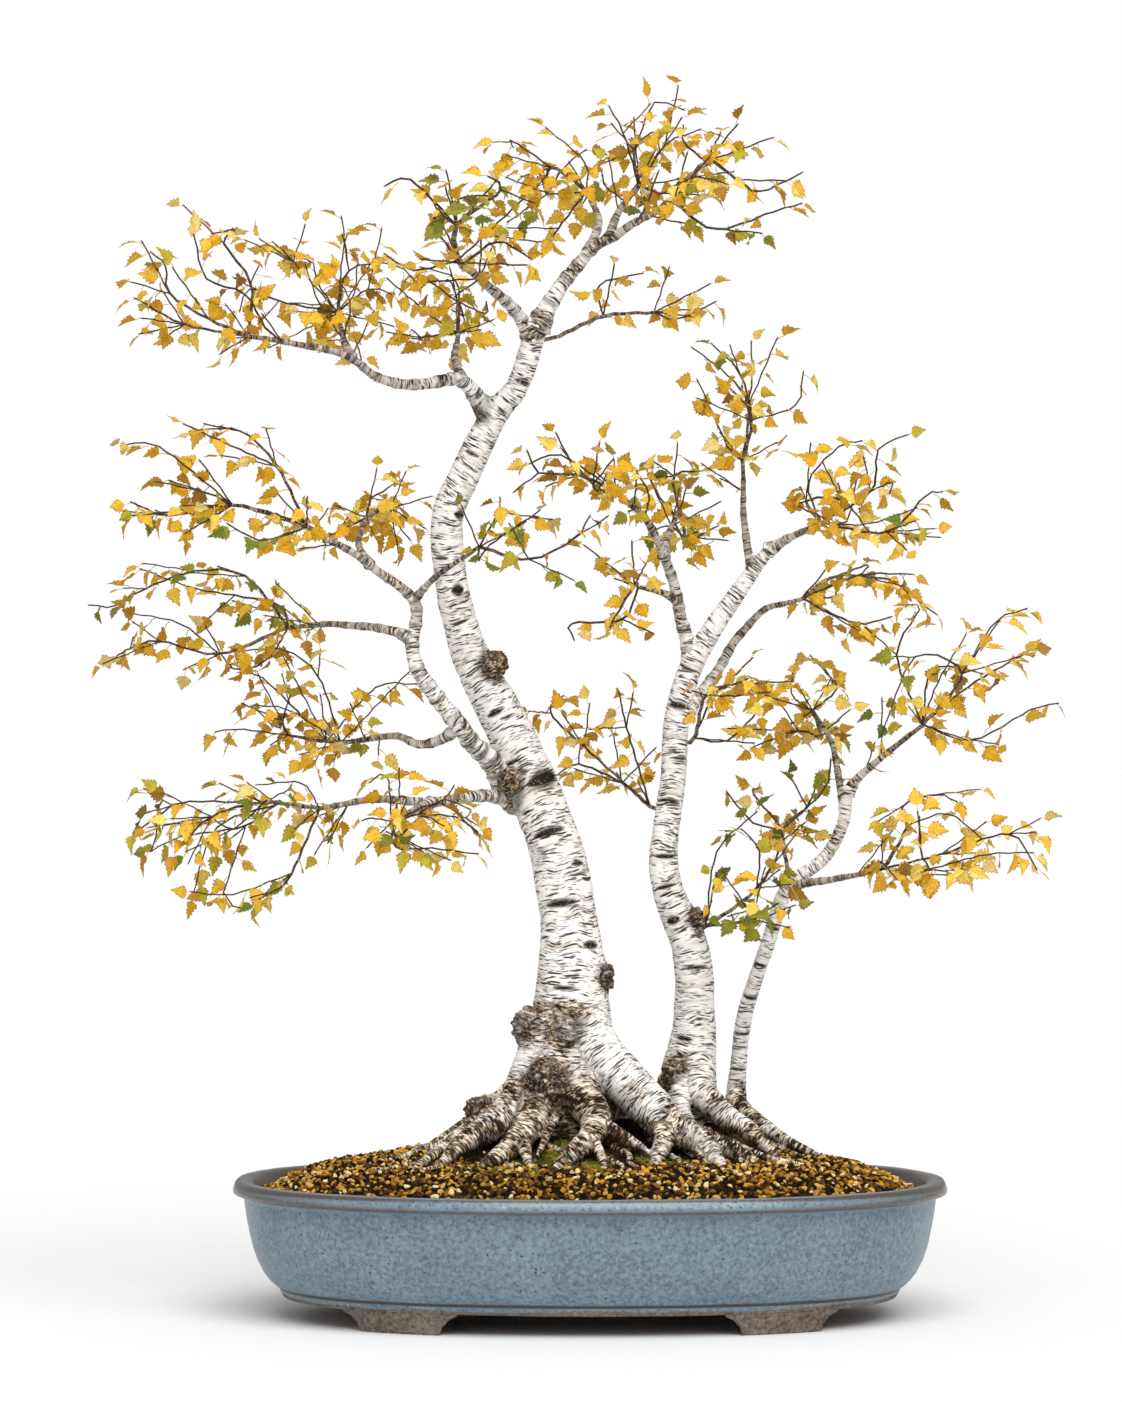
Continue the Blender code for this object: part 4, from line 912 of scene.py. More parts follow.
    def grow_finer(self):
        """Carries the twigs on to many finer targets within the same space, by the same rule."""
        wanted = round(self.count * FINE_TARGETS * LEAFINESS.get(self.name, 1.0))
        waiting = self.finer_targets(wanted)
        cost = np.full((wanted, len(self.nodes) + wanted), np.inf)
        for index in range(1, len(self.nodes)):
            if self.on_bough.get(index) != 0.0:
                cost[:, index] = self.costs(waiting, index)
        self.spray = list(range(len(self.nodes)))
        while np.isfinite(cost).any():
            row, index = np.unravel_index(cost.argmin(), cost.shape)
            index = int(index)
            start, end = self.nodes[index], Vector(waiting[row])
            skip = self.on_bough[index] + TWIG_GAP + CLEAR_OF_BOUGH if index in self.on_bough else 0.0
            steps = max(2, int((end - start).length / SAMPLE_STEP))
            way = [start.lerp(end, step / steps) for step in range(1, steps + 1)]
            way = [place for place in way if (place - start).length > skip]
            if not way or gaps(way, self.runs).min() < TWIG_GAP:
                cost[row, index] = np.inf
                continue
            fresh = self.join(end, index, self.ways[index] + (end - start).length)
            self.spray.append(fresh if index in self.on_bough else self.spray[index])
            cost[row] = np.inf
            still = np.isfinite(cost).any(1)
            cost[still, fresh] = self.costs(waiting, fresh)[still]

    def costs(self, waiting, index):
        """What it costs to join each waiting target to one node, endless where the turn is bad."""
        node, parent = np.array(self.nodes[index]), np.array(self.nodes[self.parents[index]])
        way = waiting - node
        reach = np.linalg.norm(way, axis=1) + 1e-6
        before = (node - parent) / (np.linalg.norm(node - parent) + 1e-6)
        straight = np.clip((way @ before) / reach, -1, 1)
        bad = (straight < math.cos(FINE_TURN)) | (reach < FINE_SHORTEST) | (reach > FINE_LONGEST)
        cost = reach * (1 + TURN_WEIGHT * (1 - straight)) + PATH_WEIGHT * self.ways[index]
        return np.where(bad, np.inf, cost)

    def radii(self):
        """A twig is as thick as what it feeds, by the rule of equal cross-section."""
        load = [1.0] * len(self.nodes)
        for index in range(len(self.nodes) - 1, 0, -1):
            if index not in self.on_bough:
                load[self.parents[index]] += load[index]
        spread = self.base_radius * (1 - BOUGH_SLIMS) - TWIG_TIP
        return [TWIG_TIP + spread * (part / load[0]) ** TWIG_TAPER for part in load]

    def chains(self, radii):
        """Runs of nodes from each fork to a twig's end, the thickest way on being the same twig."""
        children = {index: [] for index in range(len(self.nodes))}
        for index, parent in enumerate(self.parents):
            if parent is not None and index not in self.on_bough:
                children[parent].append(index)
        starts = [(None, 0)] + [(node, child) for node in self.on_bough for child in children[node]]
        while starts:
            parent, index = starts.pop()
            chain = [] if parent is None else [parent]
            while True:
                chain.append(index)
                following = sorted(children[index], key=lambda child: -radii[child])
                if not following:
                    break
                starts += [(index, child) for child in following[1:]]
                index = following[0]
            yield chain


def wild_way(dice):
    """A random way and length, as likely one way as another."""
    return Vector([dice.gauss(0, 1) for _ in range(3)])


def leaf_outline(place, along, across):
    """Points along a CAD leaf's middle and edges, for testing what it would touch."""
    wide = place + along * LEAF_LENGTH * LEAF_BULGE
    points = [place + along * LEAF_LENGTH * share for share in (0.25, 0.42, 0.58, 0.79, 1.0)]
    return points + [wide + across * LEAF_WIDTH * side for side in (-0.5, -0.25, 0.25, 0.5)]


# Skins: tubes gathered into one mesh, with their bark's attributes

class Skin:
    """Gathers tubes as one mesh, and keeps each point's place on its limb laid out straight."""

    def __init__(self):
        self.points, self.faces, self.straight, self.girth = [], [], [], []
        self.total = 0

    def tube(self, path, sides, shift=0.0):
        """A tube with a pointed cap at each end, along a path of places and radii."""
        places = np.array([list(place) for place, _ in path], float)
        radii = np.array([radius for _, radius in path], float)
        ways = np.gradient(places, axis=0)
        ways /= np.linalg.norm(ways, axis=1)[:, None]
        normal = np.cross(ways[0], (0.0, 0.0, 1.0) if abs(ways[0][2]) < 0.9 else (0.0, 1.0, 0.0))
        turns = np.arange(sides) * math.tau / sides
        wave = np.stack([np.cos(turns), np.sin(turns)], 1)
        length = 0.0
        for index, (place, way, radius) in enumerate(zip(places, ways, radii)):
            normal = normal - way * normal.dot(way)
            normal /= np.linalg.norm(normal)
            other = np.cross(way, normal)
            if index:
                length += float(np.linalg.norm(place - places[index - 1]))
            self.points.append(place + radius * (wave[:, :1] * normal + wave[:, 1:] * other))
            run = np.full((sides, 1), length + shift)
            self.straight.append(np.concatenate([wave * radius + shift, run], 1))
            self.girth.append(np.full(sides, radius))
        ends = (places[0] - ways[0] * radii[0] * 0.3, places[-1] + ways[-1] * radii[-1] * 0.6)
        for end, radius, run in zip(ends, (radii[0], radii[-1]), (0.0, length)):
            self.points.append(end[None])
            self.straight.append(np.array([[shift, shift, run + shift]]))
            self.girth.append(np.array([radius]))
        base = self.total
        rings = len(places)
        around = np.arange(sides)
        following = (around + 1) % sides
        for ring in range(rings - 1):
            low, high = base + ring * sides, base + (ring + 1) * sides
            quads = np.stack([low + around, low + following, high + following, high + around], 1)
            self.faces += quads.tolist()
        first, last = base + rings * sides, base + rings * sides + 1
        self.faces += [[first, base + int(b), base + int(a)] for a, b in zip(around, following)]
        top = base + (rings - 1) * sides
        self.faces += [[last, top + int(a), top + int(b)] for a, b in zip(around, following)]
        self.total += rings * sides + 2

    def mesh(self, name):
        """The gathered mesh in metres, with the bark's attributes."""
        made = bpy.data.meshes.new(name)
        made.from_pydata((np.concatenate(self.points) * MM).tolist(), [], self.faces)
        made.shade_smooth()
        store(made, "straight", np.concatenate(self.straight), "FLOAT_VECTOR")
        store(made, "girth", np.concatenate(self.girth))
        return made


def store(mesh, name, values, kind="FLOAT"):
    """Keeps one value for each point of a mesh as a named attribute."""
    attribute = mesh.attributes.get(name) or mesh.attributes.new(name, kind, "POINT")
    key = "vector" if kind == "FLOAT_VECTOR" else "value"
    attribute.data.foreach_set(key, np.asarray(values, np.float32).ravel())


def add_object(name, mesh, *materials):
    made = bpy.data.objects.new(name, mesh)
    bpy.context.scene.collection.objects.link(made)
    for finish in materials:
        mesh.materials.append(finish)
    return made


def plain_mesh(item):
    """The mesh that an object's modifiers give, after which the object goes."""
    graph = bpy.context.evaluated_depsgraph_get()
    mesh = bpy.data.meshes.new_from_object(item.evaluated_get(graph))
    bpy.data.objects.remove(item)
    return mesh


def mesh_of(work, name):
    """A worked bmesh as a mesh."""
    mesh = bpy.data.meshes.new(name)
    work.to_mesh(mesh)
    work.free()
    return mesh


def values_of(mesh, key):
    """The place or the normal of each point of a mesh."""
    flat = np.empty(len(mesh.vertices) * 3, np.float32)
    mesh.vertices.foreach_get(key, flat)
    return flat.reshape(-1, 3).astype(float)


def points_of(mesh):
    """The points of a mesh in millimetres."""
    return values_of(mesh, "co") / MM


def set_points(mesh, points):
    mesh.vertices.foreach_set("co", (points * MM).astype(np.float32).ravel())


def fractal(points, octaves=3):
    """Smooth seeded noise from about -1 to 1 at each point."""
    return np.array([noise.fractal(Vector(point), 1.0, 2.0, octaves) for point in points])


# Trunks

VOXEL = {"trunk_main": 1.45, "trunk_second": 1.0, "trunk_third": 0.8}
TRUNK_SIDES = 40
ROOT_SIDES = 18
FINE_STEP = 3.0
ROOT_STEPS = 16
HALVINGS = 18
# A back root's fork: where it leaves, and its reach as a share of the root's.
FORK_FROM = 0.42
FORK_REACH = 0.86
# Its side roots: how many, their turn in degrees, where they leave, their reach and thickness.
ROOT_CHILDREN = 2
CHILD_TURN = (13, 30)
CHILD_FROM = (0.3, 0.62)
CHILD_REACH = (0.72, 1.0)
CHILD_GIRTH = 0.6
CROOK = 2.6
ROOTLET_TIP = 1.5
ROOTLET_WHITENESS = 0.3
# A bough's foot swells by this share where it leaves the trunk, over this many steps.
FLARE = 0.8
COLLAR_STEPS = 9
COLLAR_SIDES = 16
FOLD_SPACING = 5.0
# The bark's pattern is shifted by this many millimetres from one limb to the next.
LIMB_SHIFT = 37


def inset_at(x, y):
    """How far in from the lip's edge a place in the pot lies."""
    outer, inner = MOUND[0][0], RIM_DEPTH / 2 - 1
    for _ in range(HALVINGS):
        inset = (outer + inner) / 2
        shares = (abs(x - POT_X) / (RIM_LENGTH / 2 - inset), abs(y) / (RIM_DEPTH / 2 - inset))
        if sum(share ** OVAL_EXPONENT for share in shares) < 1.0:
            outer = inset
        else:
            inner = inset
    return outer


def mound_level(inset):
    return float(np.interp(inset, [pair[0] for pair in MOUND], [pair[1] for pair in MOUND]))


def root_paths(trunk):
    """Surface roots at the back that leave the trunk high, run out along the mound, and fork."""
    foot = vector(TRUNKS[trunk][0])
    start = TRUNKS[trunk][0][3] * ROOT_START
    dice = random.Random(trunk)
    for number, (bearing, reach, thickness, fork) in enumerate(ROOTS[trunk]):
        heads = [(bearing, 0.0, reach, 1.0)]
        if fork:
            heads.append((bearing + fork, FORK_FROM, reach * FORK_REACH, 1.0))
        for _ in range(ROOT_CHILDREN):
            turn = dice.choice((-1, 1)) * dice.uniform(*CHILD_TURN)
            begin = dice.uniform(*CHILD_FROM)
            heads.append((bearing + turn, begin, reach * dice.uniform(*CHILD_REACH), CHILD_GIRTH))
        for head, begin, length, share in heads:
            path = []
            for step in range(ROOT_STEPS + 1):
                t = begin + (1 - begin) * step / ROOT_STEPS
                blend = (t - begin) / (1 - begin)
                bearing_here = bearing + (head - bearing) * math.sqrt(blend)
                sway = ROOT_SWAY * math.sin(math.tau * t + number)
                crook = CROOK * noise.noise(Vector((t * 5, number * 3.1, head * 0.1)))
                turn = math.radians(bearing_here + sway * t + crook * 2)
                out = start + (length - start) * t
                thin = share + (1 - share) * (1 - blend) * 0.5
                radius = ROOT_TIP + (thickness - ROOT_TIP) * (1 - t) ** ROOT_TAPER * thin
                x, y = foot.x + math.cos(turn) * out, foot.y + math.sin(turn) * out
                level = mound_level(inset_at(x, y)) + ROOT_PROUD * radius
                height = level + (ROOT_TOP[trunk] - level) * (1 - t) ** ROOT_FALL + crook * 0.8
                path.append((Vector((x, y, height)), radius))
            yield path


def narrowed_foot(path):
    """The trunk's path with its foot drawn in under the roots."""
    for place, radius in path:
        below = min(max((FOOT_NARROWS_FROM - place.z) / FOOT_NARROWS_OVER, 0.0), 1.0)
        yield place, radius * (1 - FOOT_NARROWS_BY * below)


def fine_runs(paths):
    """Runs of several paths, with the length up to each and the number of its path."""
    rows = []
    for number, path in enumerate(paths):
        length = 0.0
        for (start, wide), (end, narrow) in zip(path, path[1:]):
            rows.append((*start, *end, wide, narrow, length, number))
            length += (end - start).length
    return np.array(rows)


def nearest_runs(points, runs):
    """For each point: its nearest run, and the share along it."""
    best = np.full(len(points), np.inf)
    which = np.zeros(len(points), int)
    shares = np.zeros(len(points))
    for index, run in enumerate(runs):
        way = run[3:6] - run[0:3]
        offset = points - run[0:3]
        share = np.clip(offset @ way / (way @ way), 0, 1)
        gap = np.linalg.norm(offset - share[:, None] * way, axis=1)
        gap -= run[6] + (run[7] - run[6]) * share
        nearer = gap < best
        best[nearer], which[nearer], shares[nearer] = gap[nearer], index, share[nearer]
    return which, shares


def laid_straight(points, runs, which, shares):
    """Each point's place on its limb laid out straight: across, across, and along in millimetres."""
    run = runs[which]
    way = run[:, 3:6] - run[:, 0:3]
    length = np.linalg.norm(way, axis=1)
    ahead = way / length[:, None]
    offset = points - (run[:, 0:3] + way * shares[:, None])
    trunk = run[:, 9] == 0
    front = np.where(trunk[:, None], np.array([[0.0, -1.0, 0.0]]), np.array([[0.0, 0.0, 1.0]]))
    front = front - ahead * (front * ahead).sum(1)[:, None]
    front /= np.linalg.norm(front, axis=1)[:, None]
    right = np.cross(front, ahead)
    side, forth = (offset * right).sum(1), (offset * front).sum(1)
    along = run[:, 8] + length * shares + (offset * ahead).sum(1)
    return np.stack([side + run[:, 9] * LIMB_SHIFT, forth, along], 1), side, forth


def scar_depths(name, path, side, forth, along, on_trunk):
    """How deep in a scar each point lies, from 0 outside to 1, on the trunk itself."""
    heights = np.array([place.z for place, _ in path])
    steps = [(after[0] - before[0]).length for before, after in zip(path, path[1:])]
    lengths = np.concatenate([[0.0], np.cumsum(steps)])
    radii = np.array([radius for _, radius in path])
    bearing = np.arctan2(side, forth)
    dice = random.Random(name + " scars")
    marks = []
    for height, offset, wide, high in SCARS[name]:
        index = int(np.abs(heights - height).argmin())
        turn = math.asin(max(-0.95, min(0.95, offset / radii[index])))
        marks.append((lengths[index], turn, radii[index], wide, high))
    for _ in range(SCARS_AROUND[name]):
        index = dice.randrange(8, len(path) - 2)
        wide = radii[index] * dice.uniform(0.3, 0.75)
        turn = math.pi + dice.uniform(-2.0, 2.0)
        marks.append((lengths[index], turn, radii[index], wide, dice.uniform(1.2, 3.6)))
    depth = np.zeros(len(side))
    for length, turn, radius, wide, high in marks:
        around = (bearing - turn + math.pi) % math.tau - math.pi
        across = np.abs(around * radius / wide)
        room = np.clip(1 - across ** 2, 0, 1)
        inside = 1 - np.abs(along - length) / (high * room + 1e-6)
        depth = np.maximum(depth, np.where((across < 1) & on_trunk, np.clip(inside * 1.6, 0, 1), 0))
    return depth


def rootlet_path(places, thick):
    """A thin rootlet's path along the soil, which tapers to its tip."""
    stations = []
    for step, (x, y) in enumerate(places):
        radius = thick + (ROOTLET_TIP - thick) * step / (len(places) - 1)
        stations.append((x, y, soil_height(x, y, inset_at(x, y)) + 0.5 * radius, radius))
    return smooth_path(stations, FINE_STEP)


def trunk_paths(name):
    """The paths of a trunk and then of its roots, and how white the bark of each root is."""
    paths = [list(narrowed_foot(smooth_path(TRUNKS[name], FINE_STEP))), *root_paths(name)]
    white = [0.0] * len(paths)
    for whiteness, stations in FRONT_ROOTS[name]:
        paths.append(smooth_path(stations, FINE_STEP))
        white.append(whiteness)
    for places, thick in ROOTLETS[name]:
        paths.append(rootlet_path(places, thick))
        white.append(ROOTLET_WHITENESS)
    return paths, np.array(white)


def grown_together(name, paths):
    """A trunk, its roots, its burls and the collars of its boughs as one closed skin."""
    skin = Skin()
    skin.tube(paths[0], TRUNK_SIDES)
    for root in paths[1:]:
        skin.tube(root, ROOT_SIDES)
    for bough, (parent, *_) in BOUGHS.items():
        if parent == name:
            collar = smooth_path(bough_stations(bough), FINE_STEP)[:COLLAR_STEPS]
            skin.tube([(place, radius * (1 + FLARE * math.exp(-step / 2.4)) - 0.12 * step)
                       for step, (place, radius) in enumerate(collar)], COLLAR_SIDES)
    work = bmesh.new()
    work.from_mesh(skin.mesh(name + "_rough"))
    for x, y, z, radius, _ in BURLS[name]:
        middle = Vector((x, y, z)) * MM
        ball = bmesh.ops.create_icosphere(work, subdivisions=4, radius=radius * MM)
        for vertex in ball["verts"]:
            lump = noise.fractal((vertex.co + middle) / (7 * MM), 1.0, 2.0, 3)
            vertex.co = vertex.co * (1.0 + 0.22 * lump) + middle
    holder = add_object(name + "_rough", mesh_of(work, name + "_rough"))
    remesh = holder.modifiers.new("grow together", "REMESH")
    remesh.mode = "VOXEL"
    remesh.voxel_size = VOXEL[name] * MM
    smooth = holder.modifiers.new("soften", "SMOOTH")
    smooth.iterations = 3
    return plain_mesh(holder)


def burl_shares(name, points):
    """How much of a burl each point has, and how dark the burl is there."""
    burl, dark = np.zeros(len(points)), np.zeros(len(points))
    for x, y, z, size, darkness in BURLS[name]:
        away = np.linalg.norm(points - (x, y, z), axis=1) / size
        burl = np.maximum(burl, np.clip(2.6 - 1.4 * away, 0, 1))
        dark = np.maximum(dark, np.clip(3.4 - 2.3 * away, 0, 1) * darkness)
    return burl, dark


def burl_folds(name, points, patches):
    """Folds of wood in wavering rings round the middle of each burl, from -1 to 1."""
    waver = fractal(points / 7, 2) * 4
    folds = np.zeros(len(points))
    for x, y, z, size, _ in BURLS[name]:
        away = np.linalg.norm(points - (x, y, z) - (0, -size, 0), axis=1)
        rings = np.sin(away * math.tau / FOLD_SPACING + patches * 7 + waver)
        folds = np.where(away < 2.4 * size, rings, folds)
    return folds


def fork_marks(name, path, points, patches):
    """How dark the wrinkled old collar is where a bough leaves the trunk."""
    marks = np.zeros(len(points))
    for bough, (parent, *_) in BOUGHS.items():
        if parent == name:
            for place, thick in bough_path(bough):
                middle, stout = min(path, key=lambda station: (station[0] - place).length)
                if (place - middle).length > 0.8 * stout:
                    break
            away = np.linalg.norm(points - np.array(place), axis=1) / (thick * 2.3)
            marks = np.maximum(marks, np.clip(1.5 - 1.2 * away + patches * 0.8, 0, 0.9))
    return marks


def trunk_bark(name, finish):
    """A trunk with roots and burls grown into one skin, then the bark's relief worked into it."""
    paths, white = trunk_paths(name)
    mesh = grown_together(name, paths)
    points, normals = points_of(mesh), values_of(mesh, "normal")
    runs = fine_runs(paths)
    which, shares = nearest_runs(points, runs)
    straight, side, forth = laid_straight(points, runs, which, shares)
    radius, limb = runs[which][:, 6], runs[which][:, 9].astype(int)
    on_trunk = limb == 0
    slender = name == "trunk_third"
    scar = scar_depths(name, paths[0], side, forth, straight[:, 2], on_trunk)
    burl, dark = burl_shares(name, points)
    # Bark is weathered near the ground, in patches, on roots unless they are white, and on burls.
    low = np.clip((ROOT_TOP[name] + 34 - points[:, 2]) / 70, 0, 1)
    patches = fractal(points / 22, 3)
    weathered = low * (0.8 if slender else 1.25) - 0.35 + patches * 0.8
    weathered += ~on_trunk * (0.5 - 1.25 * white[limb])
    weathered = np.clip(weathered + 0.3 * slender, 0, 1)
    weathered = np.maximum(weathered, burl * np.clip(0.75 + patches, 0, 1))
    # Relief in millimetres: rolling lumps, rings in white bark, ridges in old bark, knots in burls.
    lumps = fractal(points / 24, 2) * 0.9
    rings = fractal(straight / np.array([26, 26, 2.6]), 3) * 0.3
    ridges = fractal(straight / np.array([15, 15, 3.4]), 3) * 1.1
    ridges += fractal(straight / np.array([6, 6, 20]), 2) * 0.9
    folds = burl_folds(name, points, patches)
    crust = fractal(points / 4.4, 3)
    knots = folds * 0.9 + crust * 2.2
    slim = np.clip(radius / 14, 0.25, 1)
    height = lumps * slim + rings * (1 - weathered) + ridges * weathered * slim + knots * burl
    height -= scar * 0.9 * (1 + 0.4 * patches)
    scar = np.maximum(scar, dark * np.clip(1.1 - folds * 0.3 - crust * 0.9, 0, 1))
    scar = np.maximum(scar, fork_marks(name, paths[0], points, patches))
    set_points(mesh, points + normals * height[:, None])
    mesh.update()
    mesh.shade_smooth()
    store(mesh, "straight", straight, "FLOAT_VECTOR")
    store(mesh, "girth", radius + 1.2 if slender else np.maximum(radius, 7.0))
    store(mesh, "weathered", weathered)
    # Painted shade: points near the ground that face downward are marked, and the bark darkens them brown as
    # shade.
    store(mesh, "damp", np.clip(0.35 - normals[:, 2] * 1.4, 0, 1) * np.clip(low * 1.6, 0, 1))
    store(mesh, "scar", scar)
    return add_object(name + "_bark", mesh, finish)


# Boughs

# The crooks of the boughs follow from this seed.
CROOK_SEED = 1795786194
BOUGH_SLIMS = 0.22
BOUGH_SIDES = 14
BOUGH_FINE_STEP = 2.0


def bough_bark(names, label, finish):
    """Boughs with a collar where each leaves its parent, slight crooks and old leaf-scar rings."""
    skin = Skin()
    scars = []
    for name in names:
        dice = random.Random(name)
        path = smooth_path(bough_stations(name), BOUGH_FINE_STEP)
        shaped = []
        ring = dice.uniform(6, 14)
        length = 0.0
        for step, (place, radius) in enumerate(path):
            if step:
                length += (place - path[step - 1][0]).length
            ring -= BOUGH_FINE_STEP
            node = 1.0 if ring < BOUGH_FINE_STEP else 0.0
            if ring < 0:
                ring = dice.uniform(7, 20)
            swell = 1 + FLARE * 0.8 * math.exp(-length / (1.4 * radius + 2))
            crook = noise.noise_vector(Vector((length / 26, len(name), radius))) * min(1.0, length / 20)
            fade = min(1.0, (len(path) - 1 - step) / 6)
            slimmer = 1 - BOUGH_SLIMS * (step / len(path)) ** 1.5
            lump = 0.12 * node + 0.05 * noise.noise(Vector((length / 7, step, 0)))
            shaped.append((place + crook * radius * 0.42 * fade, radius * slimmer * (swell + lump)))
            collar = max(0.0, 0.9 - length / (2.2 * radius + 3))
            scars += [max(collar, node * dice.uniform(0.4, 1.0))] * BOUGH_SIDES
        skin.tube(shaped, BOUGH_SIDES, shift=dice.uniform(0, 90))
        scars += [0.0, 0.0]
    mesh = skin.mesh(label)
    points, normals = points_of(mesh), values_of(mesh, "normal")
    girth = np.concatenate(skin.girth)
    grain = fractal(np.concatenate(skin.straight) / np.array([2.6, 2.6, 3.4]), 3)
    points += normals * (grain * np.clip(girth * 0.05, 0.1, 0.3))[:, None]
    set_points(mesh, points)
    store(mesh, "girth", girth + 0.7)
    store(mesh, "weathered", np.clip(0.12 + fractal(points / 16, 2) * 0.9, 0, 0.55))
    store(mesh, "scar", np.array(scars) * np.clip(0.7 + grain, 0, 1))
    return add_object(label, mesh, finish)


# Leaves

# How the leaf forms are bent, as (fold along the midrib, curl of the tip, lean to a side, ripple in mm).
LEAF_BENDS = [(0.12, 0.10, 0.05, 0.6), (0.32, 0.20, -0.08, 0.9), (0.6, 0.14, 0.03, 1.1),
              (0.2, 0.42, 0.10, 1.0), (-0.18, 0.08, -0.05, 1.2), (0.42, 0.5, -0.12, 1.3)]
# Places along the midrib, and which of them each point of an edge is joined to.
MIDRIB = (0.0, 0.2, 0.42, 0.66, 1.06)
EDGE_JOINS = (0, 0, 1, 1, 1, 2, 2, 3, 3, 3)
# A tooth stands out from the leaf's even outline and hooks forward, and a notch lies within it.
TOOTH, NOTCH, HOOK = 1.14, 0.82, 0.045


def leaf_form(name, fold, curl, lean, ripple, collection):
    """One birch leaf on its stalk: three-cornered, toothed, folded along its midrib and curled.

    It starts at the origin and points along +Y, with its face to +Z.
    """
    def width(t):
        """Half the blade's width at a share of its length from the base."""
        rising = math.sin(min(t / 0.30, 1.0) * math.pi / 2) ** 0.65
        falling = 1 - max(0.0, (t - 0.24) / 0.76) ** 1.3
        return BLADE_WIDTH / 2 * rising * falling

    def bent(x, t):
        """A place on the blade at x across and t along, after fold, ripple and curl."""
        edge = abs(x) / (BLADE_WIDTH / 2)
        wave = ripple * math.sin(t * 11 + (2.0 if x > 0 else 0.4)) * edge
        across = x * math.cos(math.atan(fold)) + lean * BLADE * t * t
        along = STALK + BLADE * t * (1 - 0.3 * curl)
        return across, along, abs(x) * fold - curl * BLADE * t ** 1.8 + wave

    points = [bent(0.0, t) for t in MIDRIB]
    uvs = [(0.5, min(t, 1.0)) for t in MIDRIB]
    faces = []
    for side in (-1, 1):
        edge = []
        for step in range(TEETH * 2):
            t = 0.03 + 0.93 * step / (TEETH * 2)
            edge.append(len(points))
            out, ahead = (TOOTH, HOOK) if step % 2 else (NOTCH, 0.0)
            points.append(bent(side * width(t + 0.02) * out, t + ahead))
            uvs.append((0.5 + 0.5 * side, t))
        triangles = []
        for step, (near, far) in enumerate(zip(EDGE_JOINS, EDGE_JOINS[1:])):
            triangles.append([near, edge[step], edge[step + 1]])
            if far != near:
                triangles.append([near, edge[step + 1], far])
        triangles.append([3, edge[-1], 4])
        faces += [triangle[::-side] for triangle in triangles]
    # The stalk is three-sided and arches from the twig to the blade.
    base = len(points)
    for t in (0.0, 0.5, 1.05):
        sag = 1.1 * math.sin(t * math.pi / 1.05)
        radius = 0.5 - 0.18 * t
        for corner in range(3):
            turn = math.tau * corner / 3
            points.append((radius * math.cos(turn), STALK * t, radius * math.sin(turn) + sag))
            uvs.append((0.5, 0.0))
    for ring in (base, base + 3):
        for corner in range(3):
            a, b = ring + corner, ring + (corner + 1) % 3
            faces.append([a, a + 3, b + 3, b])
    mesh = bpy.data.meshes.new(name)
    mesh.from_pydata([tuple(part * MM for part in point) for point in points], [], faces)
    layer = mesh.uv_layers.new(name="leaf")
    for loop in mesh.loops:
        layer.data[loop.index].uv = uvs[loop.vertex_index]
    mesh.shade_smooth()
    collection.objects.link(bpy.data.objects.new(name, mesh))


def new_group(name, inputs, output):
    """Empty geometry nodes with named inputs of some kinds, which give one shape."""
    tree = bpy.data.node_groups.new(name, "GeometryNodeTree")
    for label, kind in inputs.items():
        tree.interface.new_socket(label, in_out="INPUT", socket_type="NodeSocket" + kind)
    tree.interface.new_socket(output, in_out="OUTPUT", socket_type="NodeSocketGeometry")
    return tree, add(tree, "NodeGroupInput").outputs


def named(tree, name, kind="FLOAT"):
    """The attribute of a name, in geometry nodes."""
    return add(tree, "GeometryNodeInputNamedAttribute", {"Name": name}, data_type=kind).outputs[0]


def forms_on_points(tree, points, forms, which, turn, size):
    """Puts one of a collection's forms on each point, as real shapes."""
    forms = add(tree, "GeometryNodeCollectionInfo",
                {"Collection": forms, "Separate Children": True, "Reset Children": True}).outputs[0]
    placed = add(tree, "GeometryNodeInstanceOnPoints",
                 {"Points": points, "Instance": forms, "Pick Instance": True, "Instance Index": which,
                  "Rotation": turn, "Scale": size}).outputs[0]
    return add(tree, "GeometryNodeRealizeInstances", {"Geometry": placed}).outputs[0]


def shape_from(holder, tree, inputs):
    """The plain mesh that geometry nodes make from an object, with their inputs set by name."""
    growth = holder.modifiers.new("growth", "NODES")
    growth.node_group = tree
    for socket in tree.interface.items_tree:
        if socket.in_out == "INPUT" and socket.name in inputs:
            growth[socket.identifier] = inputs[socket.name]
    return plain_mesh(holder)


def leaf_tree(tints):
    """Geometry nodes that put a leaf on each point, turned, sized and tinted by its attributes."""
    inputs = {"Points": "Geometry", "Leaf Forms": "Collection", "Leaf Size": "Float"}
    tree, given = new_group("leaves_on_twigs", inputs, "Leaves")
    size = add(tree, "ShaderNodeMath", {0: named(tree, "size"), 1: given["Leaf Size"]}, operation="MULTIPLY")
    shown = forms_on_points(tree, given["Points"], given["Leaf Forms"], named(tree, "form", "INT"),
                            named(tree, "turn", "FLOAT_VECTOR"), size.outputs[0])
    tint = named(tree, "tint", "INT")
    for number, finish in enumerate(tints):
        chosen = add(tree, "FunctionNodeCompare", {2: tint, 3: number}, data_type="INT", operation="EQUAL")
        values = {"Geometry": shown, "Selection": chosen.outputs[0], "Material": finish}
        shown = add(tree, "GeometryNodeSetMaterial", values).outputs[0]
    add(tree, "NodeGroupOutput", {0: shown})
    return tree


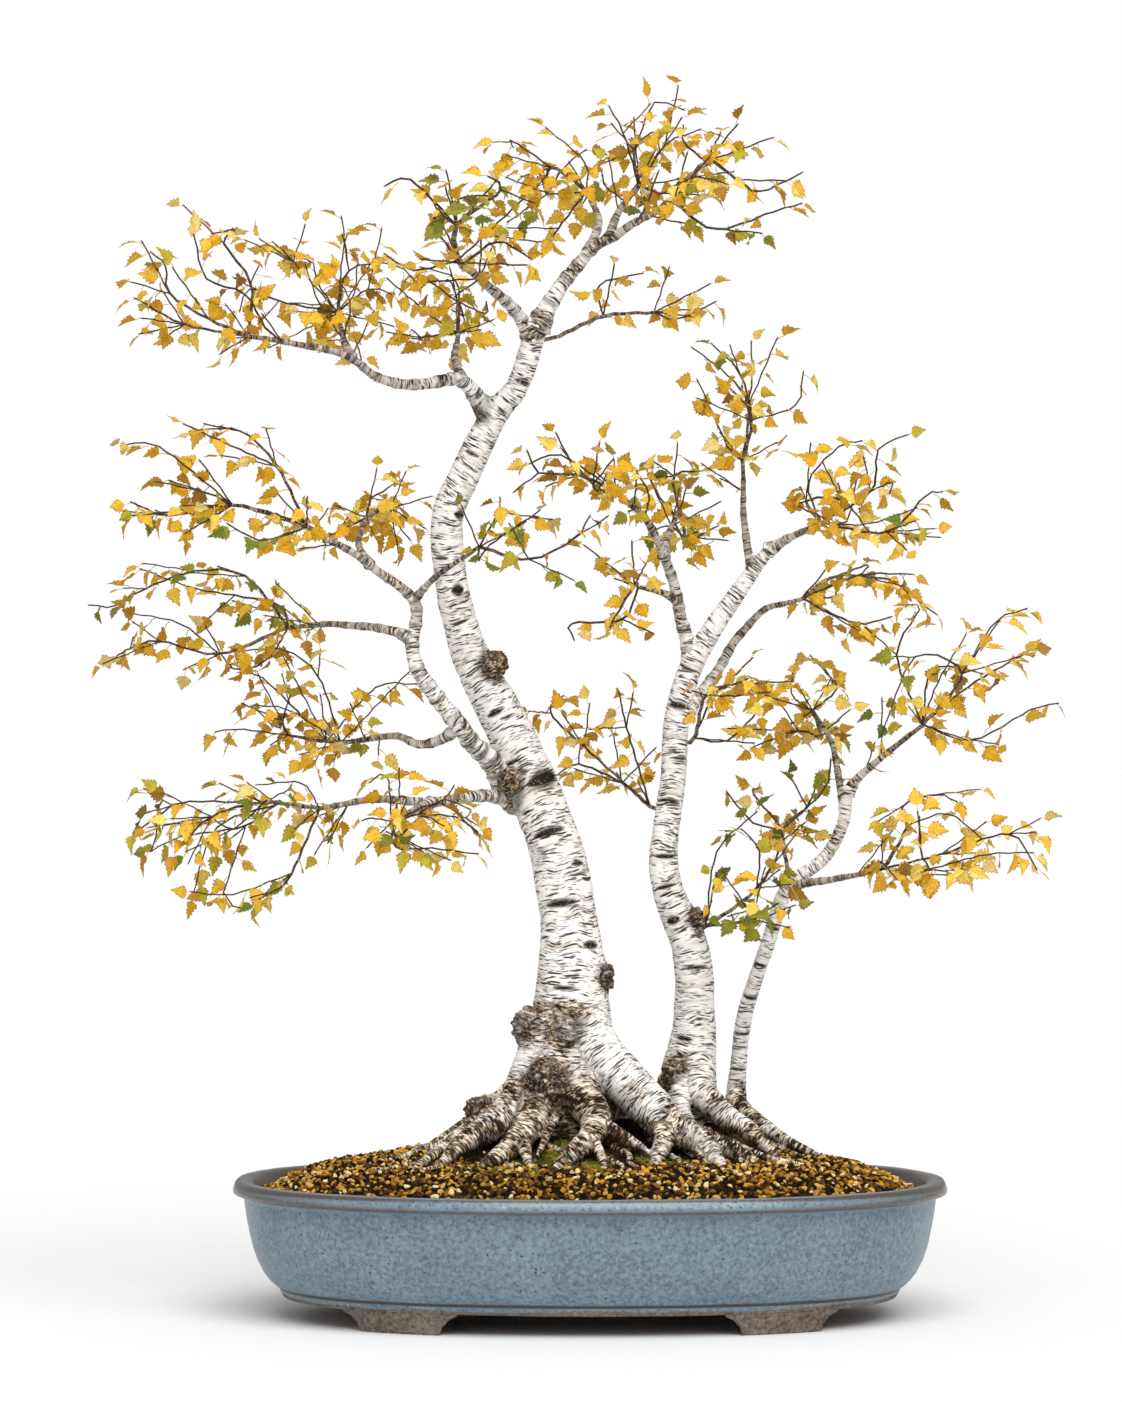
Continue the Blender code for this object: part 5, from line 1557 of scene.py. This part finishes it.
# How often each tint comes up in a golden, an ochre and a green spray.
SPRAY_TINTS = {
    "golden": {"gold": 40, "pale_gold": 20, "deep_gold": 22, "straw": 6, "ochre": 5, "brown": 2,
               "yellow_green": 4},
    "ochre": {"gold": 26, "deep_gold": 34, "ochre": 22, "brown": 6, "pale_gold": 8, "straw": 4},
    "green": {"olive": 34, "green": 22, "yellow_green": 26, "gold": 12, "deep_gold": 6},
}
OCHRE_SHARE = 0.2
GREEN_SHARE = {
    "foliage_front_right": 0.62, "foliage_second_low": 0.6, "foliage_low_left": 0.34,
    "foliage_left_outer": 0.16, "foliage_left_back": 0.14, "foliage_top_back": 0.16,
    "foliage_left_middle": 0.12, "foliage_third_back": 0.22, "foliage_apex": 0.10,
}
GREEN_ELSEWHERE = 0.06
# How a leaf leans, as (along its twig, to its side of it), beside the twig and at its end.
SIDE_POSE = (0.45, 0.85)
END_POSE = (0.95, 0.15)
BLADE_SIZES = (0.58, 0.92)
# A twig narrows to a point past its last place, as (distance on, radius).
TWIG_POINT = [(0.9, 0.62), (2.2, 0.46), (3.4, 0.12)]
TWIG_SIDES = 6
# How far a stem's foot runs back into the limb that it grows from.
STEM_ROOTED = 3


def spray_kind(name, dice):
    green = GREEN_SHARE.get(name, GREEN_ELSEWHERE)
    return dice.choices(["green", "ochre", "golden"], [green, OCHRE_SHARE, 1 - green - OCHRE_SHARE])[0]


def leaf_places(twigs, radii):
    """Leaves along the young wood of a mass, left and right in turn, and one on each end."""
    dice = random.Random(twigs.name + " leaves")
    ends = set(range(2, len(twigs.nodes))) - set(twigs.parents) - set(twigs.on_bough)
    kinds = {spray: spray_kind(twigs.name, dice) for spray in sorted(set(twigs.spray))}
    tints = list(LEAF_TINTS)
    side = 1
    for index in range(2, len(twigs.nodes)):
        if radii[index] > YOUNG_WOOD or index in twigs.on_bough:
            continue
        start, end = twigs.nodes[twigs.parents[index]], twigs.nodes[index]
        way = (end - start).normalized()
        count = int((end - start).length / BLADE_EVERY + dice.uniform(0.1, 0.7))
        spots = [(start.lerp(end, (step + 0.75) / (count + 0.5)), False) for step in range(count)]
        if index in ends:
            spots += [(end, True)] * TRIES_AT_END
        weights = SPRAY_TINTS[kinds[twigs.spray[index]]]
        for place, last in spots:
            side = -side
            outward = (place - twigs.centre).normalized()
            level = way.cross(Vector((0, 0, 1)))
            level = level.normalized() if level.length > 0.1 else Vector((1, 0, 0))
            lean, aside = END_POSE if last else SIDE_POSE
            along = way * lean + level * side * aside + outward * 0.28 + wild_way(dice) * 0.34
            along.z -= dice.uniform(0.0, 1.0)
            along.normalize()
            face = Vector((0, 0, 0.55)) + outward * 0.95 + wild_way(dice) * 0.4
            face = (face - along * face.dot(along)).normalized()
            turn = Matrix((along.cross(face), along, face)).transposed().to_euler()
            tint = tints.index(dice.choices(list(weights), list(weights.values()))[0])
            size = dice.uniform(*BLADE_SIZES)
            yield place, along, turn, size, dice.randrange(len(LEAF_BENDS)), tint


def zigzag(path):
    """A birch twig turns a little at each bud, to one side and then the other."""
    bent = list(path)
    for index in range(1, len(path) - 1):
        way = (path[index + 1][0] - path[index - 1][0]).normalized()
        across = way.cross(Vector((0.3, 0.9, 0.3))).normalized()
        shift = ZIGZAG if index % 2 else -ZIGZAG
        bent[index] = (path[index][0] + across * shift, path[index][1])
    return bent


def twig_piece(names, label, grown, bark):
    """The twigs of some masses as one piece."""
    skin = Skin()
    for name in names:
        twigs = grown[name]
        radii = twigs.radii()
        dice = random.Random(name + " twigs")
        for chain in twigs.chains(radii):
            stations = [(*twigs.nodes[index], radii[index]) for index in chain]
            if chain[0] == 0:
                back = (twigs.nodes[0] - twigs.nodes[1]).normalized() * STEM_ROOTED
                stations[0] = (*(twigs.nodes[0] + back), radii[0])
            elif len(chain) > 1:
                stations[0] = (*twigs.nodes[chain[0]], radii[chain[1]])
            path = zigzag(smooth_path(stations, ZIGZAG_EVERY))
            tip = path[-1][0]
            ahead = (tip - path[-2][0]).normalized()
            path += [(tip + ahead * reach, radius) for reach, radius in TWIG_POINT]
            skin.tube(path, TWIG_SIDES, shift=dice.uniform(0, 90))
    mesh = skin.mesh(label + "_twigs")
    for attribute in ("weathered", "scar"):
        store(mesh, attribute, np.zeros(skin.total))
    return add_object(label + "_twigs", mesh, bark)


def leaves_with_room(names, grown):
    """The leaves of some masses that lie within their mass and clear of the limbs."""
    dressed = set()
    for name in names:
        twigs = grown[name]
        for place, along, *pose in leaf_places(twigs, twigs.radii()):
            size = pose[1]
            spots = [place + along * (STALK + BLADE * share) * size for share in (0.35, 0.65, 1.0)]
            if tuple(place) in dressed or not twigs.inside(spots[1], LEAVES_WITHIN):
                continue
            if gaps(spots, twigs.runs).min() > BLADE_CLEAR and abs(spots[2].x) < CROWN_HALF:
                dressed.add(tuple(place))
                yield place, *pose


def leaf_piece(names, label, grown, leaf_nodes, forms):
    """The leaves of some masses as one piece."""
    places, turns, *numbers = zip(*leaves_with_room(names, grown))
    mesh = bpy.data.meshes.new(label + "_points")
    mesh.from_pydata([place * MM for place in places], [], [])
    store(mesh, "turn", [list(turn) for turn in turns], "FLOAT_VECTOR")
    for attribute, values in zip(("size", "form", "tint"), numbers):
        store(mesh, attribute, values)
    holder = add_object(label + "_points", mesh)
    leaves = shape_from(holder, leaf_nodes, {"Leaf Forms": forms, "Leaf Size": 1.0})
    leaves.name = label + "_leaves"
    return add_object(label + "_leaves", leaves)


# The pot

def oval_point(inset, turn):
    """A point of the pot's oval, inset from the lip's edge, at a turn from +X."""
    sides = (RIM_LENGTH / 2 - inset, RIM_DEPTH / 2 - inset)
    power = 2 / OVAL_EXPONENT
    wave = (math.cos(turn), math.sin(turn))
    return [side * math.copysign(abs(part) ** power, part) for side, part in zip(sides, wave)]


def oval_ring(inset, height, segments=OVAL_SEGMENTS):
    """Points round the oval, evenly spaced along its edge."""
    turns = [math.tau * step / (segments * 4) for step in range(segments * 4)]
    dense = np.array([oval_point(inset, turn) for turn in turns])
    steps = np.linalg.norm(np.roll(dense, -1, axis=0) - dense, axis=1)
    length = np.concatenate([[0.0], np.cumsum(steps)])
    wanted = np.arange(segments) * length[-1] / segments
    closed = np.concatenate([dense, dense[:1]])
    return [(POT_X + float(np.interp(at, length, closed[:, 0])),
             float(np.interp(at, length, closed[:, 1])), height) for at in wanted]


def oval_depth(inset, x):
    """Half the oval's depth at a distance x from the pot's middle."""
    across = min(abs(x) / (RIM_LENGTH / 2 - inset), 1.0)
    return (RIM_DEPTH / 2 - inset) * (1 - across ** OVAL_EXPONENT) ** (1 / OVAL_EXPONENT)


# The wall's profile as (inset, height, how thin the glaze is), from under the pot to inside it.
POT_PROFILE = [
    (60, FOOT_HEIGHT, 0.2), (40, FOOT_HEIGHT, 0.3), (36.5, FOOT_HEIGHT + 0.2, 0.5),
    (35.3, 15.4, 0.6), (34.7, 16.6, 0.6), (34.1, 17.8, 0.2), (33.3, 18.9, 0.0), (32.9, 19.9, 0.2),
    (33.0, 20.6, 0.9), (33.0, 21.4, 1.0), (31.6, 22.2, 0.9), (30.0, 23.0, 0.2), (28.2, 24.6, 0.0),
    (25.0, 27.6, 0.0), (21.6, 32, 0.0), (17.2, 40.5, 0.0), (14.2, 49, 0.0), (12.0, 58, 0.0),
    (10.4, 66, 0.0), (9.2, 73, 0.0), (8.4, 79, 0.0), (8.0, 82.4, 0.05), (7.4, 84.0, 0.25),
    (5.8, 85.4, 0.4), (3.0, 86.4, 0.6), (1.2, 87.0, 0.75), (0.3, 87.8, 0.7), (0.0, 89.0, 0.4),
    (0.2, 90.3, 0.15), (0.5, 91.4, 0.0), (0.9, 92.6, 0.1), (1.4, 93.9, 0.6), (2.2, 95.1, 0.75),
    (3.2, 95.7, 0.35), (5.4, RIM_TOP, 0.0), (8.4, RIM_TOP + 0.1, 0.0), (11.0, 95.9, 0.15),
    (12.8, 95.3, 0.7), (13.9, 94.2, 1.0), (14.8, 92.0, 1.0),
    (16.0, 88.0, 1.0), (18.0, 84.0, 1.0), (21.0, 60.0, 1.0), (24.0, 44.0, 1.0), (44.0, FLOOR_TOP, 1.0),
]
# A foot's levels as (half its length, inset from the lip's edge, its width, height).
FOOT_LEVELS = [
    (FOOT_HALF_BOTTOM, 40.2, FOOT_WIDTH - 8.4, 0.0),
    (FOOT_HALF_BOTTOM + 0.5, 39.7, FOOT_WIDTH - 7.6, 0.8),
    (FOOT_HALF_BOTTOM + 1.2, 39.4, FOOT_WIDTH - 7.0, 3.2),
    (FOOT_HALF_BOTTOM + 2.2, 39.0, FOOT_WIDTH - 6, 5.8),
    (FOOT_HALF_BOTTOM + 4.6, 38.4, FOOT_WIDTH - 5, 8.2),
    (FOOT_HALF_TOP - 7, 37.6, FOOT_WIDTH - 3, 10.4),
    (FOOT_HALF_TOP - 3.5, 37.0, FOOT_WIDTH - 2, 12.2),
    (FOOT_HALF_TOP - 1, 36.4, FOOT_WIDTH - 1, 13.6),
    (FOOT_HALF_TOP, 36.0, FOOT_WIDTH, FOOT_HEIGHT + 2),
]
FOOT_STEPS = 24
FOOT_WORN = 0.5
LIP_FROM = 86


def loft(work, rings):
    """Adds a closed skin through rings of equal count, with flat ends."""
    rows = [[work.verts.new(Vector(point) * MM) for point in ring] for ring in rings]
    for lower, upper in zip(rows, rows[1:]):
        for index, corner in enumerate(lower):
            following = (index + 1) % len(lower)
            work.faces.new((corner, lower[following], upper[following], upper[index]))
    work.faces.new(list(reversed(rows[0])))
    work.faces.new(rows[-1])
    return rows


def foot_ring(side_x, side_y, half_length, inset, width, height):
    """A foot's outline: its outer edge follows the oval of the pot's base."""
    steps = [half_length * (2 * step / FOOT_STEPS - 1) for step in range(FOOT_STEPS + 1)]
    outer = [(FOOT_OFFSET_X + step, oval_depth(inset, FOOT_OFFSET_X + step)) for step in steps]
    inner = [(x, y - width) for x, y in reversed(outer)]
    return [(POT_X + side_x * x, side_y * y, height) for x, y in outer + inner]


def glazed_pot(finish):
    """The thrown oval wall with its rolled lip and foot band, and four bracket feet."""
    work = bmesh.new()
    worn_at = {}
    rows = loft(work, [oval_ring(inset, height) for inset, height, _ in POT_PROFILE])
    for row, (*_, worn) in zip(rows, POT_PROFILE):
        worn_at.update(dict.fromkeys(row, worn))
    for side_x in (-1, 1):
        for side_y in (-1, 1):
            for row in loft(work, [foot_ring(side_x, side_y, *level) for level in FOOT_LEVELS]):
                worn_at.update(dict.fromkeys(row, FOOT_WORN))
    bmesh.ops.recalc_face_normals(work, faces=work.faces)
    # The glaze ran thinner on the lip towards the pot's ends.
    worn = []
    for vertex in work.verts:
        end = abs(vertex.co.x / MM - POT_X) / (RIM_LENGTH / 2)
        worn.append(worn_at[vertex] + 0.75 * end ** 3 * (vertex.co.z > LIP_FROM * MM))
    mesh = mesh_of(work, "glazed_pot")
    store(mesh, "worn", worn)
    mesh.shade_smooth()
    points, normals = points_of(mesh), values_of(mesh, "normal")
    # A hand-finished wall is never quite true: it wavers by a fraction of a millimetre.
    waver = fractal(points / 46, 2) * 0.35 * (points[:, 2] > 1)
    set_points(mesh, points + normals * waver[:, None])
    for face in mesh.polygons:
        if len(face.vertices) > 4:
            face.use_smooth = False
    return finish_piece(add_object("glazed_pot", mesh, finish), "pot_glaze", "pot")


# The soil

def soil_height(x, y, inset):
    """The soil's level at a place, at an inset from the pot's lip."""
    rise = max(up * math.exp(-((x - cx) ** 2 + (y - cy) ** 2) / spread ** 2)
               for cx, cy, up, spread in SOIL_RISES)
    wave = noise.fractal(Vector((x / 34, y / 34, 3.1)), 1.0, 2.0, 3)
    return mound_level(inset) + rise + wave * (0.8 + 1.2 * min(1.0, max(0.0, (inset - 30) / 40)))


# Moss grows in patches between the roots, as (x, y, radius).
MOSS_PATCHES = [(-30, -78, 22), (-50, -82, 14), (-2, -58, 18), (14, -78, 16), (62, -62, 14), (-74, -82, 12),
                (106, -14, 14), (40, 92, 24), (-70, 66, 20), (140, 30, 12)]
# The soil's surface as rings at these insets from the lip's edge, over a hidden base.
SOIL_INSETS = [18.4, *np.linspace(19.2, 178, 112)]
SOIL_SEGMENTS = 220
SOIL_BASE = 60.0
SOIL_BASE_INSET = 22.5
SOIL_TOP_FROM = 84


def soil_mesh():
    """The mounded surface over the packed soil, with how many grains and how much moss it bears."""
    work = bmesh.new()
    rings = [oval_ring(SOIL_BASE_INSET, SOIL_BASE, SOIL_SEGMENTS)]
    for inset in SOIL_INSETS:
        ring = oval_ring(inset, 0.0, SOIL_SEGMENTS)
        rings.append([(x, y, soil_height(x, y, inset)) for x, y, _ in ring])
    loft(work, rings)
    mesh = mesh_of(work, "soil_surface")
    points = points_of(mesh)
    top = points[:, 2] > SOIL_TOP_FROM
    points[:, 2] += fractal(points / 3.0, 3) * 0.9 * top
    set_points(mesh, points)
    foot = np.hypot((points[:, 0] - HUMUS[0]) / HUMUS[2], (points[:, 1] - HUMUS[1]) / HUMUS[3])
    patches = fractal(points / 18, 3)
    moss = np.zeros(len(points))
    for x, y, size in MOSS_PATCHES:
        away = np.hypot(points[:, 0] - x, points[:, 1] - y) / size
        moss = np.maximum(moss, 1.3 - away + patches * 0.9)
    store(mesh, "grains", np.clip((foot - 0.9) * 5 + patches * 1.3, 0.08, 1.0) * top)
    store(mesh, "moss", np.clip(moss, 0, 1) * top)
    mesh.shade_smooth()
    return mesh


def rounded_stone(name, seed, collection):
    """A crushed grain of 20 faces, 4 mm across before it is scaled."""
    work = bmesh.new()
    bmesh.ops.create_icosphere(work, subdivisions=1, radius=2.1 * MM)
    dice = random.Random(seed)
    flat = (dice.uniform(1.0, 1.45), dice.uniform(0.65, 1.0), dice.uniform(0.45, 0.8))
    for vertex in work.verts:
        jitter = 1 + dice.uniform(-0.3, 0.3)
        vertex.co = Vector([part * side for part, side in zip(vertex.co, flat)]) * jitter
    collection.objects.link(bpy.data.objects.new(name, mesh_of(work, name)))


def moss_tuft(name, seed, collection):
    """A tuft of seven three-sided shoots about 2 mm high."""
    work = bmesh.new()
    dice = random.Random(seed)
    for _ in range(7):
        lean = Vector((dice.gauss(0, 0.45), dice.gauss(0, 0.45), 1.0)).normalized()
        foot = Vector((dice.gauss(0, 0.7), dice.gauss(0, 0.7), -0.3)) * MM
        tall = dice.uniform(1.4, 2.6) * MM
        tip = work.verts.new(foot + lean * tall)
        ring = [work.verts.new(foot + Vector((math.cos(turn), math.sin(turn), 0.25)) * 0.42 * MM)
                for turn in (0.0, math.tau / 3, 2 * math.tau / 3)]
        for a, b in ((0, 1), (1, 2), (2, 0)):
            work.faces.new((ring[a], ring[b], tip))
        work.faces.new((ring[2], ring[1], ring[0]))
    collection.objects.link(bpy.data.objects.new(name, mesh_of(work, name)))


# How many forms of grain and of moss tuft there are.
FORMS = 6


def scatter_tree(name, finish):
    """Geometry nodes that scatter forms over a surface, as thick as an attribute says."""
    inputs = {"Surface": "Geometry", "Forms": "Collection", "Spacing": "Float", "Smallest": "Float",
              "Largest": "Float", "Seed": "Int", "Thickness": "String"}
    tree, given = new_group(name, inputs, "Scattered")
    points = add(tree, "GeometryNodeDistributePointsOnFaces",
                 {"Mesh": given["Surface"], "Distance Min": given["Spacing"], "Density Max": 150000.0,
                  "Density Factor": named(tree, given["Thickness"]), "Seed": given["Seed"]},
                 distribute_method="POISSON").outputs[0]
    tint = add(tree, "FunctionNodeRandomValue", {2: 0.0, 3: 1.0, "Seed": 5}, data_type="FLOAT")
    tinted = add(tree, "GeometryNodeStoreNamedAttribute",
                 {"Geometry": points, "Name": "tint", "Value": tint.outputs[1]},
                 data_type="FLOAT", domain="POINT").outputs[0]
    turn = add(tree, "FunctionNodeRandomValue",
               {1: (1.3, 1.3, math.tau), "Seed": 2}, data_type="FLOAT_VECTOR")
    size = add(tree, "FunctionNodeRandomValue",
               {2: given["Smallest"], 3: given["Largest"], "Seed": 3}, data_type="FLOAT")
    which = add(tree, "FunctionNodeRandomValue", {4: 0, 5: FORMS - 1, "Seed": 4}, data_type="INT")
    shown = forms_on_points(
        tree, tinted, given["Forms"], which.outputs[2], turn.outputs[0], size.outputs[1])
    done = add(tree, "GeometryNodeSetMaterial", {"Geometry": shown, "Material": finish})
    add(tree, "NodeGroupOutput", {0: done.outputs[0]})
    return tree


def scatter(label, surface, tree, **inputs):
    """One scattering over the soil, as a plain mesh."""
    holder = add_object(label + "_holder", surface.copy())
    mesh = shape_from(holder, tree, {name.title(): value for name, value in inputs.items()})
    mesh.name = label
    return finish_piece(add_object(label, mesh), "soil_grit", "soil")


def soil_and_cover(dark, grit, moss):
    """The mound, the grit strewn over it and the moss between the roots."""
    surface = soil_mesh()
    finish_piece(add_object("soil_mound", surface, dark), "soil_grit", "soil")
    grains = bpy.data.collections.new("grains")
    tufts = bpy.data.collections.new("tufts")
    for number in range(FORMS):
        rounded_stone(f"grain_{number}", number, grains)
        moss_tuft(f"tuft_{number}", number, tufts)
    scatter("soil_grains", surface, scatter_tree("strewn_grit", grit), forms=grains,
            spacing=3.1 * MM, smallest=0.72, largest=1.34, seed=11, thickness="grains")
    scatter("moss_cover", surface, scatter_tree("strewn_moss", moss), forms=tufts,
            spacing=1.9 * MM, smallest=0.7, largest=1.2, seed=12, thickness="moss")


# Pieces, stage and camera

def finish_piece(piece, slot, *nodes):
    """Lets a piece stand for its CAD nodes and ride with the part."""
    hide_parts(*nodes)
    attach(piece, "root")
    return piece


# Light from the white surround, and soft lights as (name, direction, angle in degrees, power).
SURROUND_LIGHT = 0.42
SOFT_LIGHTS = [("key_light", (-0.12, 0.66, -0.78), 50.0, 2.7)]


# Half the paper's side, in metres.
FLOOR_HALF = 30.0


def studio():
    """A white paper floor, a bright even surround, and one large soft light from above."""
    floor = bmesh.new()
    bmesh.ops.create_grid(floor, x_segments=1, y_segments=1, size=FLOOR_HALF)
    add_object("paper_floor", mesh_of(floor, "paper_floor"), studio_paper())
    world = bpy.data.worlds.new("studio")
    bpy.context.scene.world = world
    world.use_nodes = True
    tree = world.node_tree
    seen = add(tree, "ShaderNodeLightPath").outputs["Is Camera Ray"]
    strength = add(tree, "ShaderNodeMapRange", {"Value": seen, "To Min": SURROUND_LIGHT, "To Max": 1.0})
    surround = tree.nodes["Background"]
    surround.inputs["Color"].default_value = linear("FFFFFF")
    tree.links.new(strength.outputs[0], surround.inputs["Strength"])
    for name, aim, angle, power in SOFT_LIGHTS:
        light = bpy.data.lights.new(name, "SUN")
        light.angle = math.radians(angle)
        light.energy = power
        lamp = bpy.data.objects.new(name, light)
        bpy.context.scene.collection.objects.link(lamp)
        lamp.rotation_euler = Vector(aim).to_track_quat("-Z", "Y").to_euler()


# The photo's view: level, straight on, from the height of the crown's foot.
CAMERA_PLACE = (-5.3, -3900.0, 430.5)
CAMERA_LENS = 142.8


def photo_camera():
    camera = bpy.data.cameras.new("photo_view")
    camera.lens = CAMERA_LENS
    camera.sensor_width = 36.0
    camera.clip_end = 100.0
    holder = bpy.data.objects.new("photo_view", camera)
    bpy.context.scene.collection.objects.link(holder)
    holder.location = Vector(CAMERA_PLACE) * MM
    holder.rotation_euler = (math.pi / 2, 0.0, 0.0)
    bpy.context.scene.camera = holder
    bpy.context.scene.view_settings.view_transform = "Standard"


# The pieces of the crown and of its boughs, by how the names of what is in them begin.
GROUPS = {
    "crown_top": ("foliage_top", "foliage_apex", "foliage_right"),
    "crown_left": ("foliage_left", "foliage_low", "foliage_front"),
    "crown_second": ("foliage_second",),
    "crown_third": ("foliage_third",),
}
BOUGH_GROUPS = {
    "boughs_top": ("bough_top", "bough_apex"),
    "boughs_left": ("bough_left", "bough_low", "bough_front"),
    "boughs_second": ("bough_second",),
    "boughs_third": ("bough_third",),
}


def grown_masses():
    """Every mass's twigs, grown in turn, so that each keeps clear of those before it."""
    limbs = Limbs()
    taken = []
    grown = {}
    for name, (carrier, *_) in MASSES.items():
        twigs = Twigs(name, limbs, taken)
        twigs.grow()
        twigs.reserve()
        twigs.ease()
        twigs.join_bough(limbs.paths[carrier] if carrier in BOUGHS else [])
        twigs.grow_finer()
        grown[name] = twigs
    return grown


def main():
    noise.seed_set(CROOK_SEED)
    bark = birch_bark()
    for name in TRUNKS:
        finish_piece(trunk_bark(name, bark), "birch_bark", name)
    for label, starts in BOUGH_GROUPS.items():
        names = [name for name in BOUGHS if name.startswith(starts)]
        finish_piece(bough_bark(names, label, bark), "limb_bark", *names)
    grown = grown_masses()
    leaf_nodes = leaf_tree([leaf_blade(tint, colour) for tint, colour in LEAF_TINTS.items()])
    forms = bpy.data.collections.new("leaf_forms")
    for number, bends in enumerate(LEAF_BENDS):
        leaf_form(f"leaf_{number}", *bends, forms)
    for label, starts in GROUPS.items():
        names = [name for name in MASSES if name.startswith(starts)]
        finish_piece(twig_piece(names, label, grown, bark), "leaves_and_twigs", *names)
        finish_piece(leaf_piece(names, label, grown, leaf_nodes, forms), "leaves_and_twigs", *names)
    glazed_pot(glazed_stoneware())
    soil_and_cover(dark_soil(), fired_clay_grit(), cushion_moss())
    studio()
    photo_camera()


main()
